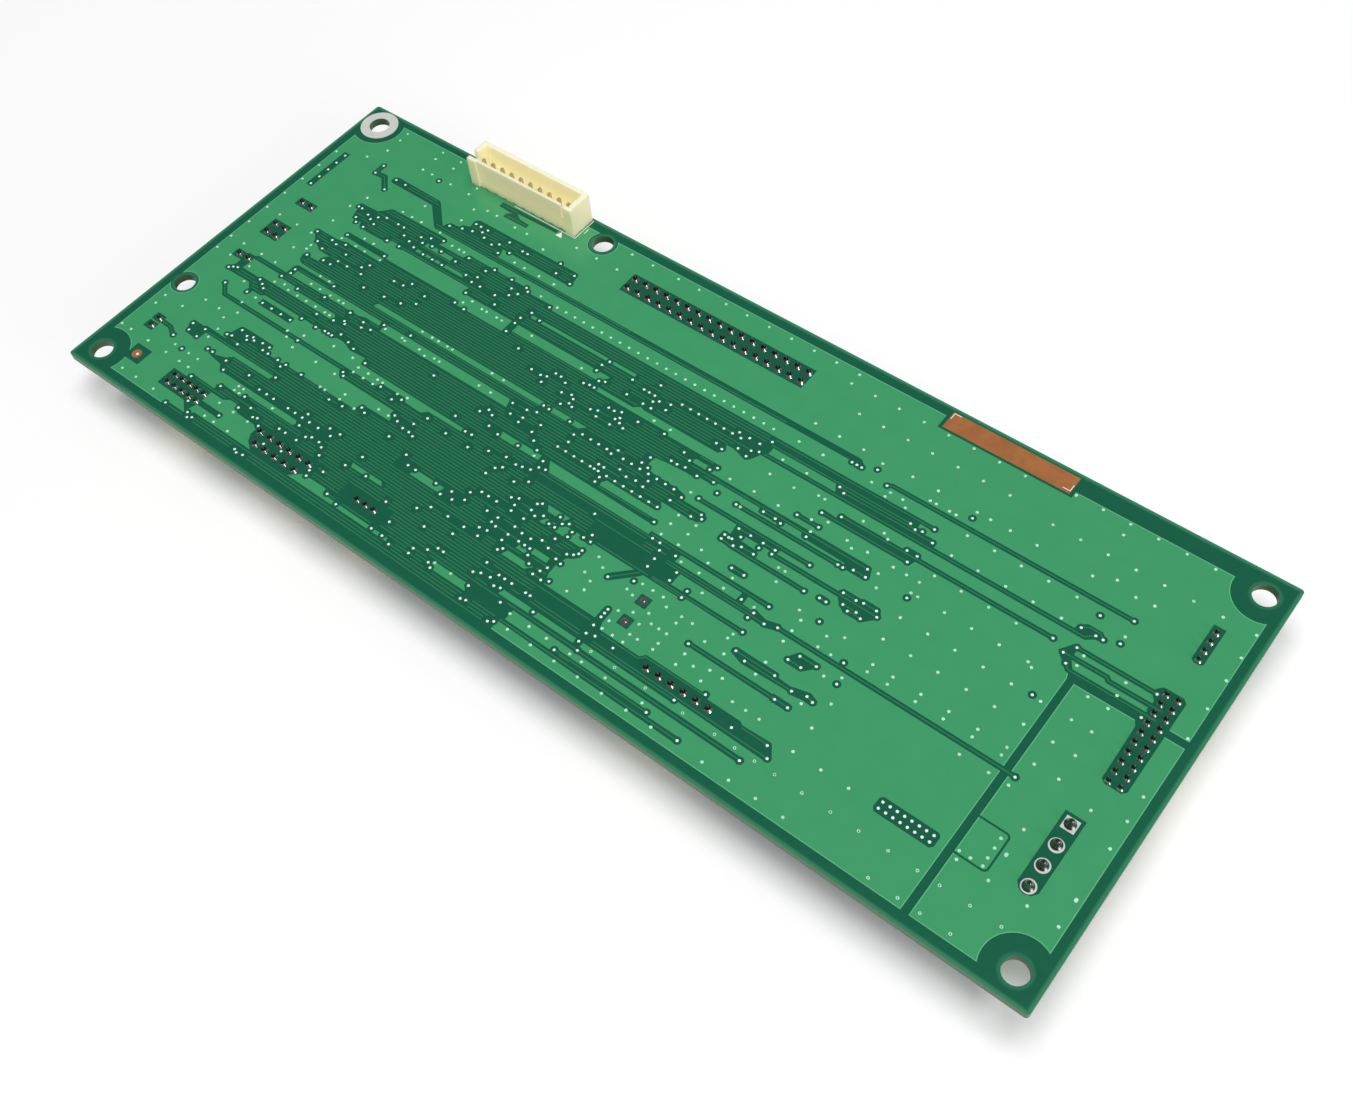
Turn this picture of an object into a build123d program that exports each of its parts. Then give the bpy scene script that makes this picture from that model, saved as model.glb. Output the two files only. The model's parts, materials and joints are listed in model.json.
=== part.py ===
from build123d import *
import math
import os

os.makedirs("parts", exist_ok=True)

# A control board that lies solder side up on the tallest parts of its component side.
# X runs along the long edge, Y from the near long edge to the far one, Z up, all in millimetres.
# The origin is the middle of the board's outline, on the surface that the board rests on.

# Board
BOARD_LENGTH = 210.0
BOARD_WIDTH = 85.0
BOARD_THICKNESS = 1.6
BOARD_CORNER = 0.6
STAND_HEIGHT = 9.0
OVERRUN = 1.0

# Mounting holes: one in each corner, one more in the far row and one more in the left column
HOLE_DIAMETER = 4.3
HOLE_INSET_X = 4.67
HOLE_INSET_Y = 4.4
FAR_HOLE_SHARE = -0.183
LEFT_HOLE_SHARE = -0.200
LAND_DIAMETER = 8.1

# Copper of the solder side
COPPER_THICKNESS = 0.07
EDGE_MARGIN = 2.3
CORNER_KEEPOUT = 5.5
INNER_KEEPOUT = 2.95
TRACE_WIDTH = 0.35
MOAT_WIDTH = 1.35
ISLAND_GAP = 0.35
LAND_GAP = 0.4
STRIP_DEPTH = 3.95
STRIP_SHARES = (0.311, 0.500)
MOAT_CORNER_SHARES = (0.3965, 0.0805)
ISLAND_SHARES = (0.4000, 0.4257, -0.3340, -0.2512)
VIA_FIELD_SHARES = (0.3357, 0.3862, -0.3518, -0.3188)
PLATE_GAP = 0.6
PLATE_LENGTH = 25.2
PLATE_WIDTH = 3.9
PLATE_AT_SHARES = (0.2500, 0.4653)
TARGET_DIAMETER = 2.0
TARGET_FIELD = 3.9
TARGET_AT_SHARES = (-0.4462, -0.4118)

# Small cleared fields of the copper, each with its parallel traces: left, right, near and far side as shares
# of the board's length and width, and the number of traces
TRACE_FIELD_SHARES = (
    ((-0.435, -0.265, -0.177, -0.167), 1),
    ((0.245, 0.390, 0.167, 0.178), 1),
    ((0.071, 0.181, -0.001, 0.011), 1),
    ((0.184, 0.412, 0.251, 0.263), 1),
    ((0.157, 0.246, 0.114, 0.141), 1),
    ((0.240, 0.371, 0.130, 0.140), 1),
    ((0.384, 0.455, 0.090, 0.147), 0),
    ((0.190, 0.405, -0.154, -0.144), 1),
    ((0.145, 0.243, -0.282, -0.269), 1),
    ((0.180, 0.255, -0.249, -0.228), 0),
    ((0.214, 0.239, -0.200, -0.167), 0),
    ((0.214, 0.253, -0.047, 0.000), 0),
    ((0.105, 0.193, -0.055, -0.030), 0),
    ((-0.478, -0.472, 0.196, 0.328), 0),
)

# Outlines of the wide cleared fields that carry the trace bundles, as shares of the board's length and width
FAR_BAND_SHARES = (
    (-0.411, 0.316), (-0.353, 0.316), (-0.330, 0.262), (0.157, 0.262), (0.157, 0.277),
    (-0.254, 0.278), (-0.254, 0.302), (-0.173, 0.302), (-0.176, 0.341), (-0.301, 0.341),
    (-0.323, 0.296), (-0.325, 0.279), (-0.348, 0.336), (-0.411, 0.338),
)
UPPER_BUS_SHARES = (
    (-0.415, 0.214), (-0.391, 0.226), (-0.381, 0.252), (-0.310, 0.252), (-0.311, 0.229),
    (-0.280, 0.229), (-0.276, 0.243), (-0.202, 0.242), (-0.167, 0.222), (0.243, 0.221),
    (0.250, 0.192), (0.250, 0.166), (0.084, 0.166), (0.076, 0.137), (0.055, 0.146),
    (0.055, 0.120), (-0.030, 0.121), (-0.036, 0.111), (-0.189, 0.111), (-0.189, 0.148),
    (-0.250, 0.148), (-0.250, 0.166), (-0.392, 0.162), (-0.406, 0.178),
)
MIDDLE_BUS_SHARES = (
    (-0.425, 0.100), (-0.345, 0.108), (-0.340, 0.124), (-0.249, 0.124), (-0.244, 0.113),
    (-0.082, 0.113), (-0.082, 0.101), (0.004, 0.101), (0.010, 0.095), (0.064, 0.095),
    (0.064, 0.081), (0.042, 0.081), (0.043, 0.069), (0.220, 0.069), (0.226, 0.043),
    (0.207, 0.035), (0.200, 0.048), (0.159, 0.048), (0.157, 0.058), (0.073, 0.058),
    (0.014, 0.034), (0.013, 0.010), (-0.305, 0.012), (-0.309, 0.001), (-0.404, 0.001),
    (-0.411, 0.024), (-0.391, 0.027), (-0.391, 0.046), (-0.414, 0.071),
)
CENTRE_BUS_SHARES = (
    (-0.314, 0.014), (0.0135, 0.014), (0.017, 0.000), (0.055, -0.003), (0.060, -0.018),
    (0.083, -0.018), (0.080, -0.046), (0.046, -0.046), (0.046, -0.070), (-0.005, -0.070),
    (-0.006, -0.087), (0.055, -0.087), (0.055, -0.101), (-0.056, -0.099), (-0.050, -0.1235),
    (0.057, -0.1235), (0.057, -0.114), (0.179, -0.114), (0.179, -0.126), (0.092, -0.126),
    (0.092, -0.145), (0.168, -0.146), (0.195, -0.140), (0.195, -0.156), (0.102, -0.162),
    (0.102, -0.190), (0.177, -0.190), (0.177, -0.201), (0.114, -0.207), (-0.205, -0.206),
    (-0.205, -0.193), (-0.273, -0.193), (-0.278, -0.166), (-0.238, -0.166), (-0.235, -0.154),
    (-0.135, -0.151), (-0.136, -0.141), (-0.267, -0.140), (-0.268, -0.123), (-0.298, -0.117),
    (-0.314, -0.117),
)
LOWER_BUS_SHARES = (
    (-0.205, -0.192), (0.027, -0.204), (0.027, -0.247), (0.016, -0.312), (0.020, -0.336),
    (0.073, -0.336), (0.073, -0.300), (0.080, -0.300), (0.083, -0.352), (0.246, -0.353),
    (0.256, -0.379), (0.170, -0.387), (0.080, -0.393), (0.080, -0.406), (0.238, -0.407),
    (0.238, -0.420), (0.016, -0.418), (0.016, -0.442), (0.193, -0.443), (0.193, -0.456),
    (0.013, -0.453), (0.013, -0.480), (-0.383, -0.480), (-0.383, -0.464), (-0.356, -0.464),
    (-0.349, -0.451), (-0.278, -0.450), (-0.290, -0.420), (-0.290, -0.398), (-0.317, -0.397),
    (-0.325, -0.380), (-0.339, -0.390), (-0.387, -0.391), (-0.387, -0.378), (-0.356, -0.378),
    (-0.355, -0.359), (-0.326, -0.350), (-0.267, -0.350), (-0.267, -0.336), (-0.365, -0.336),
    (-0.374, -0.303), (-0.369, -0.2905), (-0.323, -0.290), (-0.322, -0.278), (-0.412, -0.278),
    (-0.413, -0.304), (-0.430, -0.303), (-0.434, -0.267), (-0.392, -0.263), (-0.393, -0.220),
    (-0.348, -0.216), (-0.349, -0.240), (-0.236, -0.240), (-0.231, -0.221), (-0.200, -0.219),
)
LEFT_BAND_SHARES = (
    (-0.406, -0.015), (-0.403, -0.008), (-0.360, -0.008), (-0.357, 0.004), (-0.300, 0.004),
    (-0.300, -0.022), (-0.399, -0.022), (-0.399, -0.045), (-0.406, -0.045),
)
SECOND_BAND_SHARES = (
    (-0.448, -0.050), (-0.444, -0.041), (-0.314, -0.041), (-0.300, -0.046), (-0.300, -0.095),
    (-0.329, -0.092), (-0.329, -0.068), (-0.379, -0.068), (-0.405, -0.061), (-0.411, -0.054),
)
THIRD_BAND_SHARES = (
    (-0.462, -0.107), (-0.448, -0.090), (-0.342, -0.085), (-0.300, -0.088), (-0.300, -0.116),
    (-0.326, -0.120), (-0.402, -0.120), (-0.427, -0.112), (-0.459, -0.114),
)
BUS_SHARES = (
    FAR_BAND_SHARES, UPPER_BUS_SHARES, MIDDLE_BUS_SHARES, CENTRE_BUS_SHARES, LOWER_BUS_SHARES,
    LEFT_BAND_SHARES, SECOND_BAND_SHARES, THIRD_BAND_SHARES,
)

# Pieces of pour left standing in the wide fields: left, right, near and far side as shares
STANDING_SHARES = (
    (-0.321, -0.288, 0.205, 0.216),
    (-0.324, -0.264, 0.181, 0.189),
    (-0.178, -0.056, 0.179, 0.187),
    (-0.181, -0.075, 0.125, 0.147),
    (0.089, 0.153, 0.177, 0.195),
    (-0.300, -0.058, 0.001, 0.011),
    (-0.320, -0.287, -0.040, -0.023),
    (-0.281, -0.129, -0.045, -0.024),
    (-0.110, -0.067, -0.113, -0.100),
    (-0.022, 0.020, -0.228, -0.214),
    (-0.003, 0.073, -0.405, -0.394),
    (-0.066, -0.030, -0.441, -0.425),
    (-0.220, -0.115, -0.449, -0.440),
    (-0.144, -0.112, -0.296, -0.281),
)

# Single traces of the bundles: left end, right end and place across the board as shares
LONG_TRACE_SHARES = (
    (-0.328, 0.150, 0.270),
    (-0.298, -0.180, 0.322),
    (-0.400, -0.300, 0.195),
    (-0.160, 0.235, 0.213),
    (-0.245, -0.060, 0.158),
    (-0.415, -0.090, 0.085),
    (-0.380, 0.000, 0.050),
    (0.050, 0.215, 0.063),
    (-0.395, -0.070, -0.015),
    (-0.290, -0.060, -0.060),
    (-0.260, -0.060, -0.130),
    (0.062, 0.172, -0.120),
    (-0.195, 0.090, -0.172),
    (-0.380, 0.010, -0.250),
    (-0.315, 0.245, -0.380),
    (-0.340, 0.005, -0.460),
    (0.030, 0.185, -0.449),
    (0.020, 0.232, -0.413),
    (-0.455, -0.310, -0.105),
)

# Through-hole pins and their joints
PIN_CLEARANCE = 0.05
JOINT_SIDES = 6
JOINT_HEIGHT = 1.6

# 2.5 mm wafer headers: one of ten pins on the solder side, one of six on the component side
WAFER_PITCH = 2.5
WAFER_PIN = 0.64
WAFER_JOINT = 0.85
WAFER_HEIGHT = 7.0
WAFER_STEP = 0.9
WAFER_NEAR = 2.25
WAFER_FAR = 3.5
WAFER_END = 2.45
WAFER_WALL = 0.9
WAFER_END_WALL = 1.05
WAFER_FLOOR = 1.2
WAFER_PIN_TOP = 5.9
WAFER_POST = 2.1
WAFER_PANEL_DEPTH = 0.3
WAFER_SLIT_WIDTH = 0.5
WAFER_SLIT_DEPTH = 2.0
WAFER_SLIT_INSET = 0.55
WAFER_NOTCH_WIDTH = 1.5
WAFER_NOTCH_DEPTH = 1.8
WAFER_FOOT_GAP = 1.1
WAFER_FOOT_HEIGHT = 0.25
SIGNAL_COUNT = 10
SIGNAL_AT_SHARES = (-0.2762, 0.4529)
SIX_COUNT = 6
SIX_AT_SHARES = (0.1633, -0.3647)

# 34-way box header
BOX_COLUMNS = 17
BOX_ROWS = 2
BOX_PITCH = 2.54
BOX_PIN = 0.64
BOX_JOINT = 0.85
BOX_END = 5.08
BOX_SIDE = 3.18
BOX_WALL = 1.2
BOX_FLOOR = 2.4
BOX_KEY_WIDTH = 4.5
BOX_PIN_DEPTH = 1.6
BOX_AT_SHARES = (-0.0320, 0.3878)

# 2.0 mm wafer headers
FINE_PITCH = 2.0
FINE_PIN = 0.5
FINE_JOINT = 0.7
FINE_END = 1.95
FINE_SIDE = 2.25
FINE_WALL = 0.65
FINE_FLOOR = 1.0
FINE_HEIGHT = 6.0
FINE_PIN_DEPTH = 1.2
FINE_SLOT = 0.8
FINE_SLOT_DEPTH = 3.0
PAIRED_ROWS = 10
PAIRED_AT_SHARES = (0.4631, 0.0453)
FOUR_ROWS = 4
FOUR_AT_SHARES = (0.4633, 0.2847)
THREE_COLUMNS = 3
THREE_AT_SHARES = (-0.1533, -0.4082)
TEN_COLUMNS = 5
TEN_AT_SHARES = (-0.3771, -0.4153)
TWO_ROWS = 2
TWO_AT_SHARES = (-0.4614, -0.3229)

# 3.96 mm power header, with a locking wall along one side
POWER_ROWS = 4
POWER_PITCH = 3.96
POWER_PIN = 1.14
POWER_JOINT = 1.25
POWER_JOINT_HEIGHT = 2.0
POWER_END = 1.95
POWER_WIDTH = 8.5
POWER_FLOOR = 3.2
POWER_WALL = 1.2
POWER_PIN_DEPTH = 0.6
POWER_AT_SHARES = (0.4538, -0.2406)

# Ribbon connector with two staggered rows of contacts
RIBBON_COUNT = 11
RIBBON_PITCH = 1.27
RIBBON_ROW_GAP = 2.5
RIBBON_CONTACT = 0.5
RIBBON_JOINT = 0.8
RIBBON_END = 2.6
RIBBON_WIDTH = 5.0
RIBBON_HEIGHT = 6.0
RIBBON_CONTACT_TOP = 4.0
RIBBON_SLOT = 0.9
RIBBON_SLOT_END = 0.9
RIBBON_SLOT_DEPTH = 4.2
SLIDER_HEIGHT = 1.4
SLIDER_WIDTH = 3.6
SLIDER_OVERHANG = 0.8
RIBBON_AT_SHARES = (-0.2540, -0.4182)

# Slotted light sensors
SENSOR_LENGTH = 9.6
SENSOR_WIDTH = 5.2
SENSOR_SLOT = 3.2
SENSOR_SLOT_DEPTH = 6.0
SENSOR_SHOULDER = 0.8
SENSOR_LEAD = 0.5
SENSOR_LEAD_X = 2.54
SENSOR_LEAD_Y = 7.45
SENSOR_JOINT = 0.8
SENSOR_AT_SHARES = ((-0.4557, 0.0988), (-0.4557, -0.0182))

# Crystal
CRYSTAL_LENGTH = 11.0
CRYSTAL_WIDTH = 4.6
CRYSTAL_HEIGHT = 3.5
CRYSTAL_LEAD = 0.45
CRYSTAL_LEAD_GAP = 4.88
CRYSTAL_LAND = 1.7
CRYSTAL_LAND_HEIGHT = 0.5
CRYSTAL_LAND_TOP = 1.1
CRYSTAL_AT_SHARES = (0.0940, -0.2800)

# Surface-mounted chips
CHIP_GAP = 0.15
CHIP_EDGE = 0.3
LEAD_THICKNESS = 0.2
CONTROLLER_SIDE = 14.0
CONTROLLER_HEIGHT = 2.7
CONTROLLER_PITCH = 1.0
CONTROLLER_LEAD = 0.4
CONTROLLER_REACH = 1.7
CONTROLLER_FOOT = 0.8
CONTROLLER_COUNT = 11
CONTROLLER_AT_SHARES = (-0.0430, -0.2820)
INTERFACE_LENGTH = 10.3
INTERFACE_WIDTH = 7.5
INTERFACE_HEIGHT = 2.4
INTERFACE_PITCH = 1.27
INTERFACE_LEAD = 0.42
INTERFACE_REACH = 1.4
INTERFACE_FOOT = 0.7
INTERFACE_COUNT = 8
INTERFACE_AT_SHARES = (-0.0050, -0.0345)
DRIVER_LENGTH = 4.9
DRIVER_WIDTH = 3.9
DRIVER_HEIGHT = 1.6
DRIVER_COUNT = 4
DRIVER_AT_SHARES = (-0.3700, 0.1930)

# Regulator in a flat power package, tab to the right
REGULATOR_LENGTH = 9.0
REGULATOR_WIDTH = 10.0
REGULATOR_HEIGHT = 4.4
REGULATOR_TAB_REACH = 1.5
REGULATOR_TAB_THICKNESS = 1.3
REGULATOR_LEAD = 0.8
REGULATOR_LEAD_THICKNESS = 0.5
REGULATOR_LEAD_PITCH = 2.54
REGULATOR_REACH = 4.4
REGULATOR_FOOT = 2.0
REGULATOR_COUNT = 3
REGULATOR_AT_SHARES = (0.3400, -0.2500)

# Bulk capacitor on its square base, beside the power header
BULK_DIAMETER = 6.3
BULK_HEIGHT = 6.2
BULK_BASE = 6.6
BULK_BASE_HEIGHT = 1.0
BULK_BASE_CHAMFER = 1.3
BULK_GAP = 0.6
BULK_SHARE = -0.2406

# Chip capacitors and chip resistors
CAPACITOR_LENGTH = 2.0
CAPACITOR_WIDTH = 1.25
CAPACITOR_HEIGHT = 0.85
CAPACITOR_AT_SHARES = (
    (-0.110, -0.340), (-0.110, -0.230), (0.030, -0.345), (0.060, -0.035), (-0.330, 0.193), (0.280, -0.250),
)
RESISTOR_LENGTH = 1.6
RESISTOR_WIDTH = 0.8
RESISTOR_HEIGHT = 0.5
RESISTOR_AT_SHARES = (
    (0.130, -0.150), (0.150, -0.150), (0.170, -0.150), (0.210, 0.040), (0.390, 0.190), (-0.240, 0.330),
)

SOLDER_FACE = STAND_HEIGHT + BOARD_THICKNESS
TAIL_LENGTH = BOARD_THICKNESS
ON_BASE = (Align.CENTER, Align.CENTER, Align.MIN)


# Places and repeated shapes

def on_board(shares):
    """A place on the board from its shares of the length and width."""
    return BOARD_LENGTH * shares[0], BOARD_WIDTH * shares[1]


def block(length, width, height):
    """A box that stands on its middle."""
    return Box(length, width, height, align=ON_BASE)


def pin_grid(at_shares, columns, rows, pitch_x, pitch_y):
    """Pin places in columns and rows round one place on the board."""
    middle_x, middle_y = on_board(at_shares)
    return [
        (middle_x + (column - (columns - 1) / 2) * pitch_x, middle_y + (row - (rows - 1) / 2) * pitch_y)
        for row in range(rows)
        for column in range(columns)
    ]


def ribbon_points():
    """Contact places of the ribbon connector, every second one in the near row."""
    middle_x, middle_y = on_board(RIBBON_AT_SHARES)
    return [
        (
            middle_x + (index - (RIBBON_COUNT - 1) / 2) * RIBBON_PITCH,
            middle_y + (RIBBON_ROW_GAP / 2 if index % 2 == 0 else -RIBBON_ROW_GAP / 2),
        )
        for index in range(RIBBON_COUNT)
    ]


def sensor_points(at_shares):
    """Lead places of one light sensor."""
    return pin_grid(at_shares, 2, 2, SENSOR_LEAD_X, SENSOR_LEAD_Y)


def posts(points, side, low, high):
    """Square pins from one height to another."""
    pin = Pos(0, 0, low) * block(side, side, high - low)
    return [Pos(x, y) * pin for x, y in points]


def joint_cone(foot, height):
    """One solder joint, from its round land up to the tinned tip of the pin."""
    corners = [Vector(foot, 0, 0).rotate(Axis.Z, 360 * side / JOINT_SIDES) for side in range(JOINT_SIDES)]
    tip = Vector(0, 0, height)
    flanks = [Wire.make_polygon([corners[side - 1], corners[side], tip]) for side in range(JOINT_SIDES)]
    faces = [Face(wire) for wire in [Wire.make_polygon(corners)] + flanks]
    return Solid(Shell(faces))


def joints_above(points, foot, height):
    """Joints on the solder side."""
    cone = joint_cone(foot, height)
    return [Pos(x, y, SOLDER_FACE) * cone for x, y in points]


def tapered_block(foot, top, height):
    """A square heap that narrows from its foot to its top."""
    slope = math.degrees(math.atan((foot - top) / 2 / height))
    return extrude(Rectangle(foot, foot), height, taper=slope)


def seat_under(piece, at_shares, turn=0):
    """A piece that was made standing on its base, hung base up from the component side."""
    x, y = on_board(at_shares)
    return Pos(x, y, STAND_HEIGHT) * Rot(180, 0, turn) * piece


def seat_above(piece, at_shares):
    """A piece that was made standing on its base, set on the solder side."""
    x, y = on_board(at_shares)
    return Pos(x, y, SOLDER_FACE) * piece


def save(node, pieces):
    """Writes one node, of one solid or of a group of separate solids."""
    shapes = pieces if isinstance(pieces, list) else [pieces]
    solids = [solid for shape in shapes for solid in shape.solids()]
    export_step(Compound(solids), os.path.join("parts", node + ".step"))


# Pin places of every through-hole piece

SIGNAL_POINTS = pin_grid(SIGNAL_AT_SHARES, SIGNAL_COUNT, 1, WAFER_PITCH, WAFER_PITCH)
SIX_POINTS = pin_grid(SIX_AT_SHARES, SIX_COUNT, 1, WAFER_PITCH, WAFER_PITCH)
BOX_POINTS = pin_grid(BOX_AT_SHARES, BOX_COLUMNS, BOX_ROWS, BOX_PITCH, BOX_PITCH)
PAIRED_POINTS = pin_grid(PAIRED_AT_SHARES, 2, PAIRED_ROWS, FINE_PITCH, FINE_PITCH)
FOUR_POINTS = pin_grid(FOUR_AT_SHARES, 1, FOUR_ROWS, FINE_PITCH, FINE_PITCH)
THREE_POINTS = pin_grid(THREE_AT_SHARES, THREE_COLUMNS, 1, FINE_PITCH, FINE_PITCH)
TEN_POINTS = pin_grid(TEN_AT_SHARES, TEN_COLUMNS, 2, FINE_PITCH, FINE_PITCH)
TWO_POINTS = pin_grid(TWO_AT_SHARES, 1, TWO_ROWS, FINE_PITCH, FINE_PITCH)
POWER_POINTS = pin_grid(POWER_AT_SHARES, 1, POWER_ROWS, POWER_PITCH, POWER_PITCH)
RIBBON_POINTS = ribbon_points()
SENSOR_POINTS = [point for shares in SENSOR_AT_SHARES for point in sensor_points(shares)]
CRYSTAL_POINTS = pin_grid(CRYSTAL_AT_SHARES, 1, 2, CRYSTAL_LEAD_GAP, CRYSTAL_LEAD_GAP)

# Each group of pins that shares one clearing, with the side of its pins and the radius of its joints
PIN_GROUPS = [
    (SIGNAL_POINTS, WAFER_PIN, WAFER_JOINT),
    (SIX_POINTS, WAFER_PIN, WAFER_JOINT),
    (BOX_POINTS, BOX_PIN, BOX_JOINT),
    (PAIRED_POINTS, FINE_PIN, FINE_JOINT),
    (FOUR_POINTS, FINE_PIN, FINE_JOINT),
    (THREE_POINTS, FINE_PIN, FINE_JOINT),
    (TEN_POINTS, FINE_PIN, FINE_JOINT),
    (TWO_POINTS, FINE_PIN, FINE_JOINT),
    (POWER_POINTS, POWER_PIN, POWER_JOINT),
    (RIBBON_POINTS, RIBBON_CONTACT, RIBBON_JOINT),
]
SENSOR_ROWS = [SENSOR_POINTS[start : start + 2] for start in range(0, len(SENSOR_POINTS), 2)]
PIN_GROUPS += [(row, SENSOR_LEAD, SENSOR_JOINT) for row in SENSOR_ROWS]
PIN_GROUPS += [([point], CRYSTAL_LEAD, CRYSTAL_LAND / 2) for point in CRYSTAL_POINTS]

LEFT_X = HOLE_INSET_X - BOARD_LENGTH / 2
FAR_Y = BOARD_WIDTH / 2 - HOLE_INSET_Y
LAND_POINT = (LEFT_X, FAR_Y)
CORNER_POINTS = (LAND_POINT, (-LEFT_X, FAR_Y), (LEFT_X, -FAR_Y), (-LEFT_X, -FAR_Y))
INNER_POINTS = ((BOARD_LENGTH * FAR_HOLE_SHARE, FAR_Y), (LEFT_X, BOARD_WIDTH * LEFT_HOLE_SHARE))


# Board and copper

def make_laminate():
    """The board with its mounting holes and a hole for each pin."""
    outline = fillet(Rectangle(BOARD_LENGTH, BOARD_WIDTH).vertices(), BOARD_CORNER)
    cuts = [Pos(x, y) * Circle(HOLE_DIAMETER / 2) for x, y in CORNER_POINTS + INNER_POINTS]
    for points, side, joint in PIN_GROUPS:
        opening = side + 2 * PIN_CLEARANCE
        cuts += [Pos(x, y) * Rectangle(opening, opening) for x, y in points]
    return Pos(0, 0, STAND_HEIGHT) * extrude(outline - cuts, BOARD_THICKNESS)


def share_rectangle(shares):
    """A rectangle on the board from the shares of its left, right, near and far side."""
    left, near = on_board((shares[0], shares[2]))
    right, far = on_board((shares[1], shares[3]))
    return Pos((left + right) / 2, (near + far) / 2) * Rectangle(right - left, far - near)


def pin_field(points, keepout):
    """The cleared rectangle round a group of pins."""
    left = min(x for x, y in points) - keepout
    right = max(x for x, y in points) + keepout
    near = min(y for x, y in points) - keepout
    far = max(y for x, y in points) + keepout
    return Pos((left + right) / 2, (near + far) / 2) * Rectangle(right - left, far - near)


def moat_cuts():
    """The two moats that part the power corner from the rest of the pour."""
    corner_x, corner_y = on_board(MOAT_CORNER_SHARES)
    edge_x = BOARD_LENGTH / 2
    edge_y = BOARD_WIDTH / 2
    upright = Pos(corner_x, (corner_y - edge_y) / 2) * Rectangle(MOAT_WIDTH, corner_y + edge_y + MOAT_WIDTH)
    level = Pos((corner_x + edge_x) / 2, corner_y) * Rectangle(edge_x - corner_x, MOAT_WIDTH)
    return [upright, level]


def island_cut():
    """The thin gap round the small island in the power corner."""
    left, right, near, far = ISLAND_SHARES
    width = BOARD_LENGTH * (right - left)
    depth = BOARD_WIDTH * (far - near)
    x, y = on_board(((left + right) / 2, (near + far) / 2))
    return Pos(x, y) * (Rectangle(width, depth) - Rectangle(width - 2 * ISLAND_GAP, depth - 2 * ISLAND_GAP))


def signal_footprint():
    """The area under the signal header, which stands on the bare board."""
    length = (SIGNAL_COUNT - 1) * WAFER_PITCH + 2 * WAFER_END
    x, y = on_board(SIGNAL_AT_SHARES)
    return Pos(x, y + (WAFER_FAR - WAFER_NEAR) / 2) * Rectangle(length, WAFER_NEAR + WAFER_FAR)


def plate_point():
    """Middle of the bare copper plate."""
    return on_board(PLATE_AT_SHARES)


def copper_cuts():
    """Everything that is cleared out of the pour and of the traces."""
    plate_x, plate_y = plate_point()
    target_x, target_y = on_board(TARGET_AT_SHARES)
    strip_left, strip_right = (BOARD_LENGTH * share for share in STRIP_SHARES)
    strip_middle = (BOARD_WIDTH - STRIP_DEPTH) / 2
    cuts = [Pos(x, y) * Circle(CORNER_KEEPOUT) for x, y in CORNER_POINTS]
    cuts += [Pos(x, y) * Circle(INNER_KEEPOUT) for x, y in INNER_POINTS]
    cuts += [pin_field(points, joint + LAND_GAP) for points, side, joint in PIN_GROUPS]
    cuts.append(signal_footprint())
    cuts.append(Pos(plate_x, plate_y) * Rectangle(PLATE_LENGTH + 2 * PLATE_GAP, PLATE_WIDTH + 2 * PLATE_GAP))
    cuts.append(Pos(target_x, target_y) * Rectangle(TARGET_FIELD, TARGET_FIELD))
    strip = Rectangle(strip_right - strip_left, STRIP_DEPTH)
    cuts.append(Pos((strip_left + strip_right) / 2, strip_middle) * strip)
    cuts.append(share_rectangle(VIA_FIELD_SHARES))
    return cuts


def field_traces(shares, count):
    """Parallel traces along X, spread evenly over one cleared field."""
    left, near = on_board((shares[0], shares[2]))
    right, far = on_board((shares[1], shares[3]))
    step = (far - near) / (count + 1)
    trace = Rectangle(right - left, TRACE_WIDTH)
    return [Pos((left + right) / 2, near + step * (index + 1)) * trace for index in range(count)]


def bus_field(shares):
    """One wide cleared field, from the shares of its corners."""
    return make_face(Polyline(*[on_board(corner) for corner in shares], close=True))


def long_trace(shares):
    """One trace along X, from the shares of its ends and of its place across the board."""
    left, across = on_board((shares[0], shares[2]))
    right, across = on_board((shares[1], shares[2]))
    return Pos((left + right) / 2, across) * Rectangle(right - left, TRACE_WIDTH)


def make_copper():
    """Pour, islands and traces of the solder side, each a separate flat solid."""
    pour = Rectangle(BOARD_LENGTH - 2 * EDGE_MARGIN, BOARD_WIDTH - 2 * EDGE_MARGIN)
    fields = [share_rectangle(shares) for shares, count in TRACE_FIELD_SHARES]
    fields += [bus_field(shares) for shares in BUS_SHARES]
    traces = [trace for shares, count in TRACE_FIELD_SHARES for trace in field_traces(shares, count)]
    traces += [long_trace(shares) for shares in LONG_TRACE_SHARES]
    standing = [share_rectangle(shares) for shares in STANDING_SHARES]
    cuts = copper_cuts()
    sheet = pour - fields + standing - (moat_cuts() + [island_cut()] + cuts)
    lines = Sketch() + traces - cuts
    raised = [extrude(face, COPPER_THICKNESS) for face in sheet.faces() + lines.faces()]
    return [Pos(0, 0, SOLDER_FACE) * piece for piece in raised]


def make_mount_land():
    """The tinned ring round the far left mounting hole."""
    ring = Circle(LAND_DIAMETER / 2) - Circle(HOLE_DIAMETER / 2)
    return Pos(*LAND_POINT, SOLDER_FACE) * extrude(ring, COPPER_THICKNESS)


def make_copper_plate():
    """The bare copper plate at the far edge."""
    return Pos(*plate_point(), SOLDER_FACE) * block(PLATE_LENGTH, PLATE_WIDTH, COPPER_THICKNESS)


def make_target_pad():
    """The round bare copper pad in the near left corner."""
    disc = extrude(Circle(TARGET_DIAMETER / 2), COPPER_THICKNESS)
    return Pos(*on_board(TARGET_AT_SHARES), SOLDER_FACE) * disc


# Wafer headers of the 2.5 mm series

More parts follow.
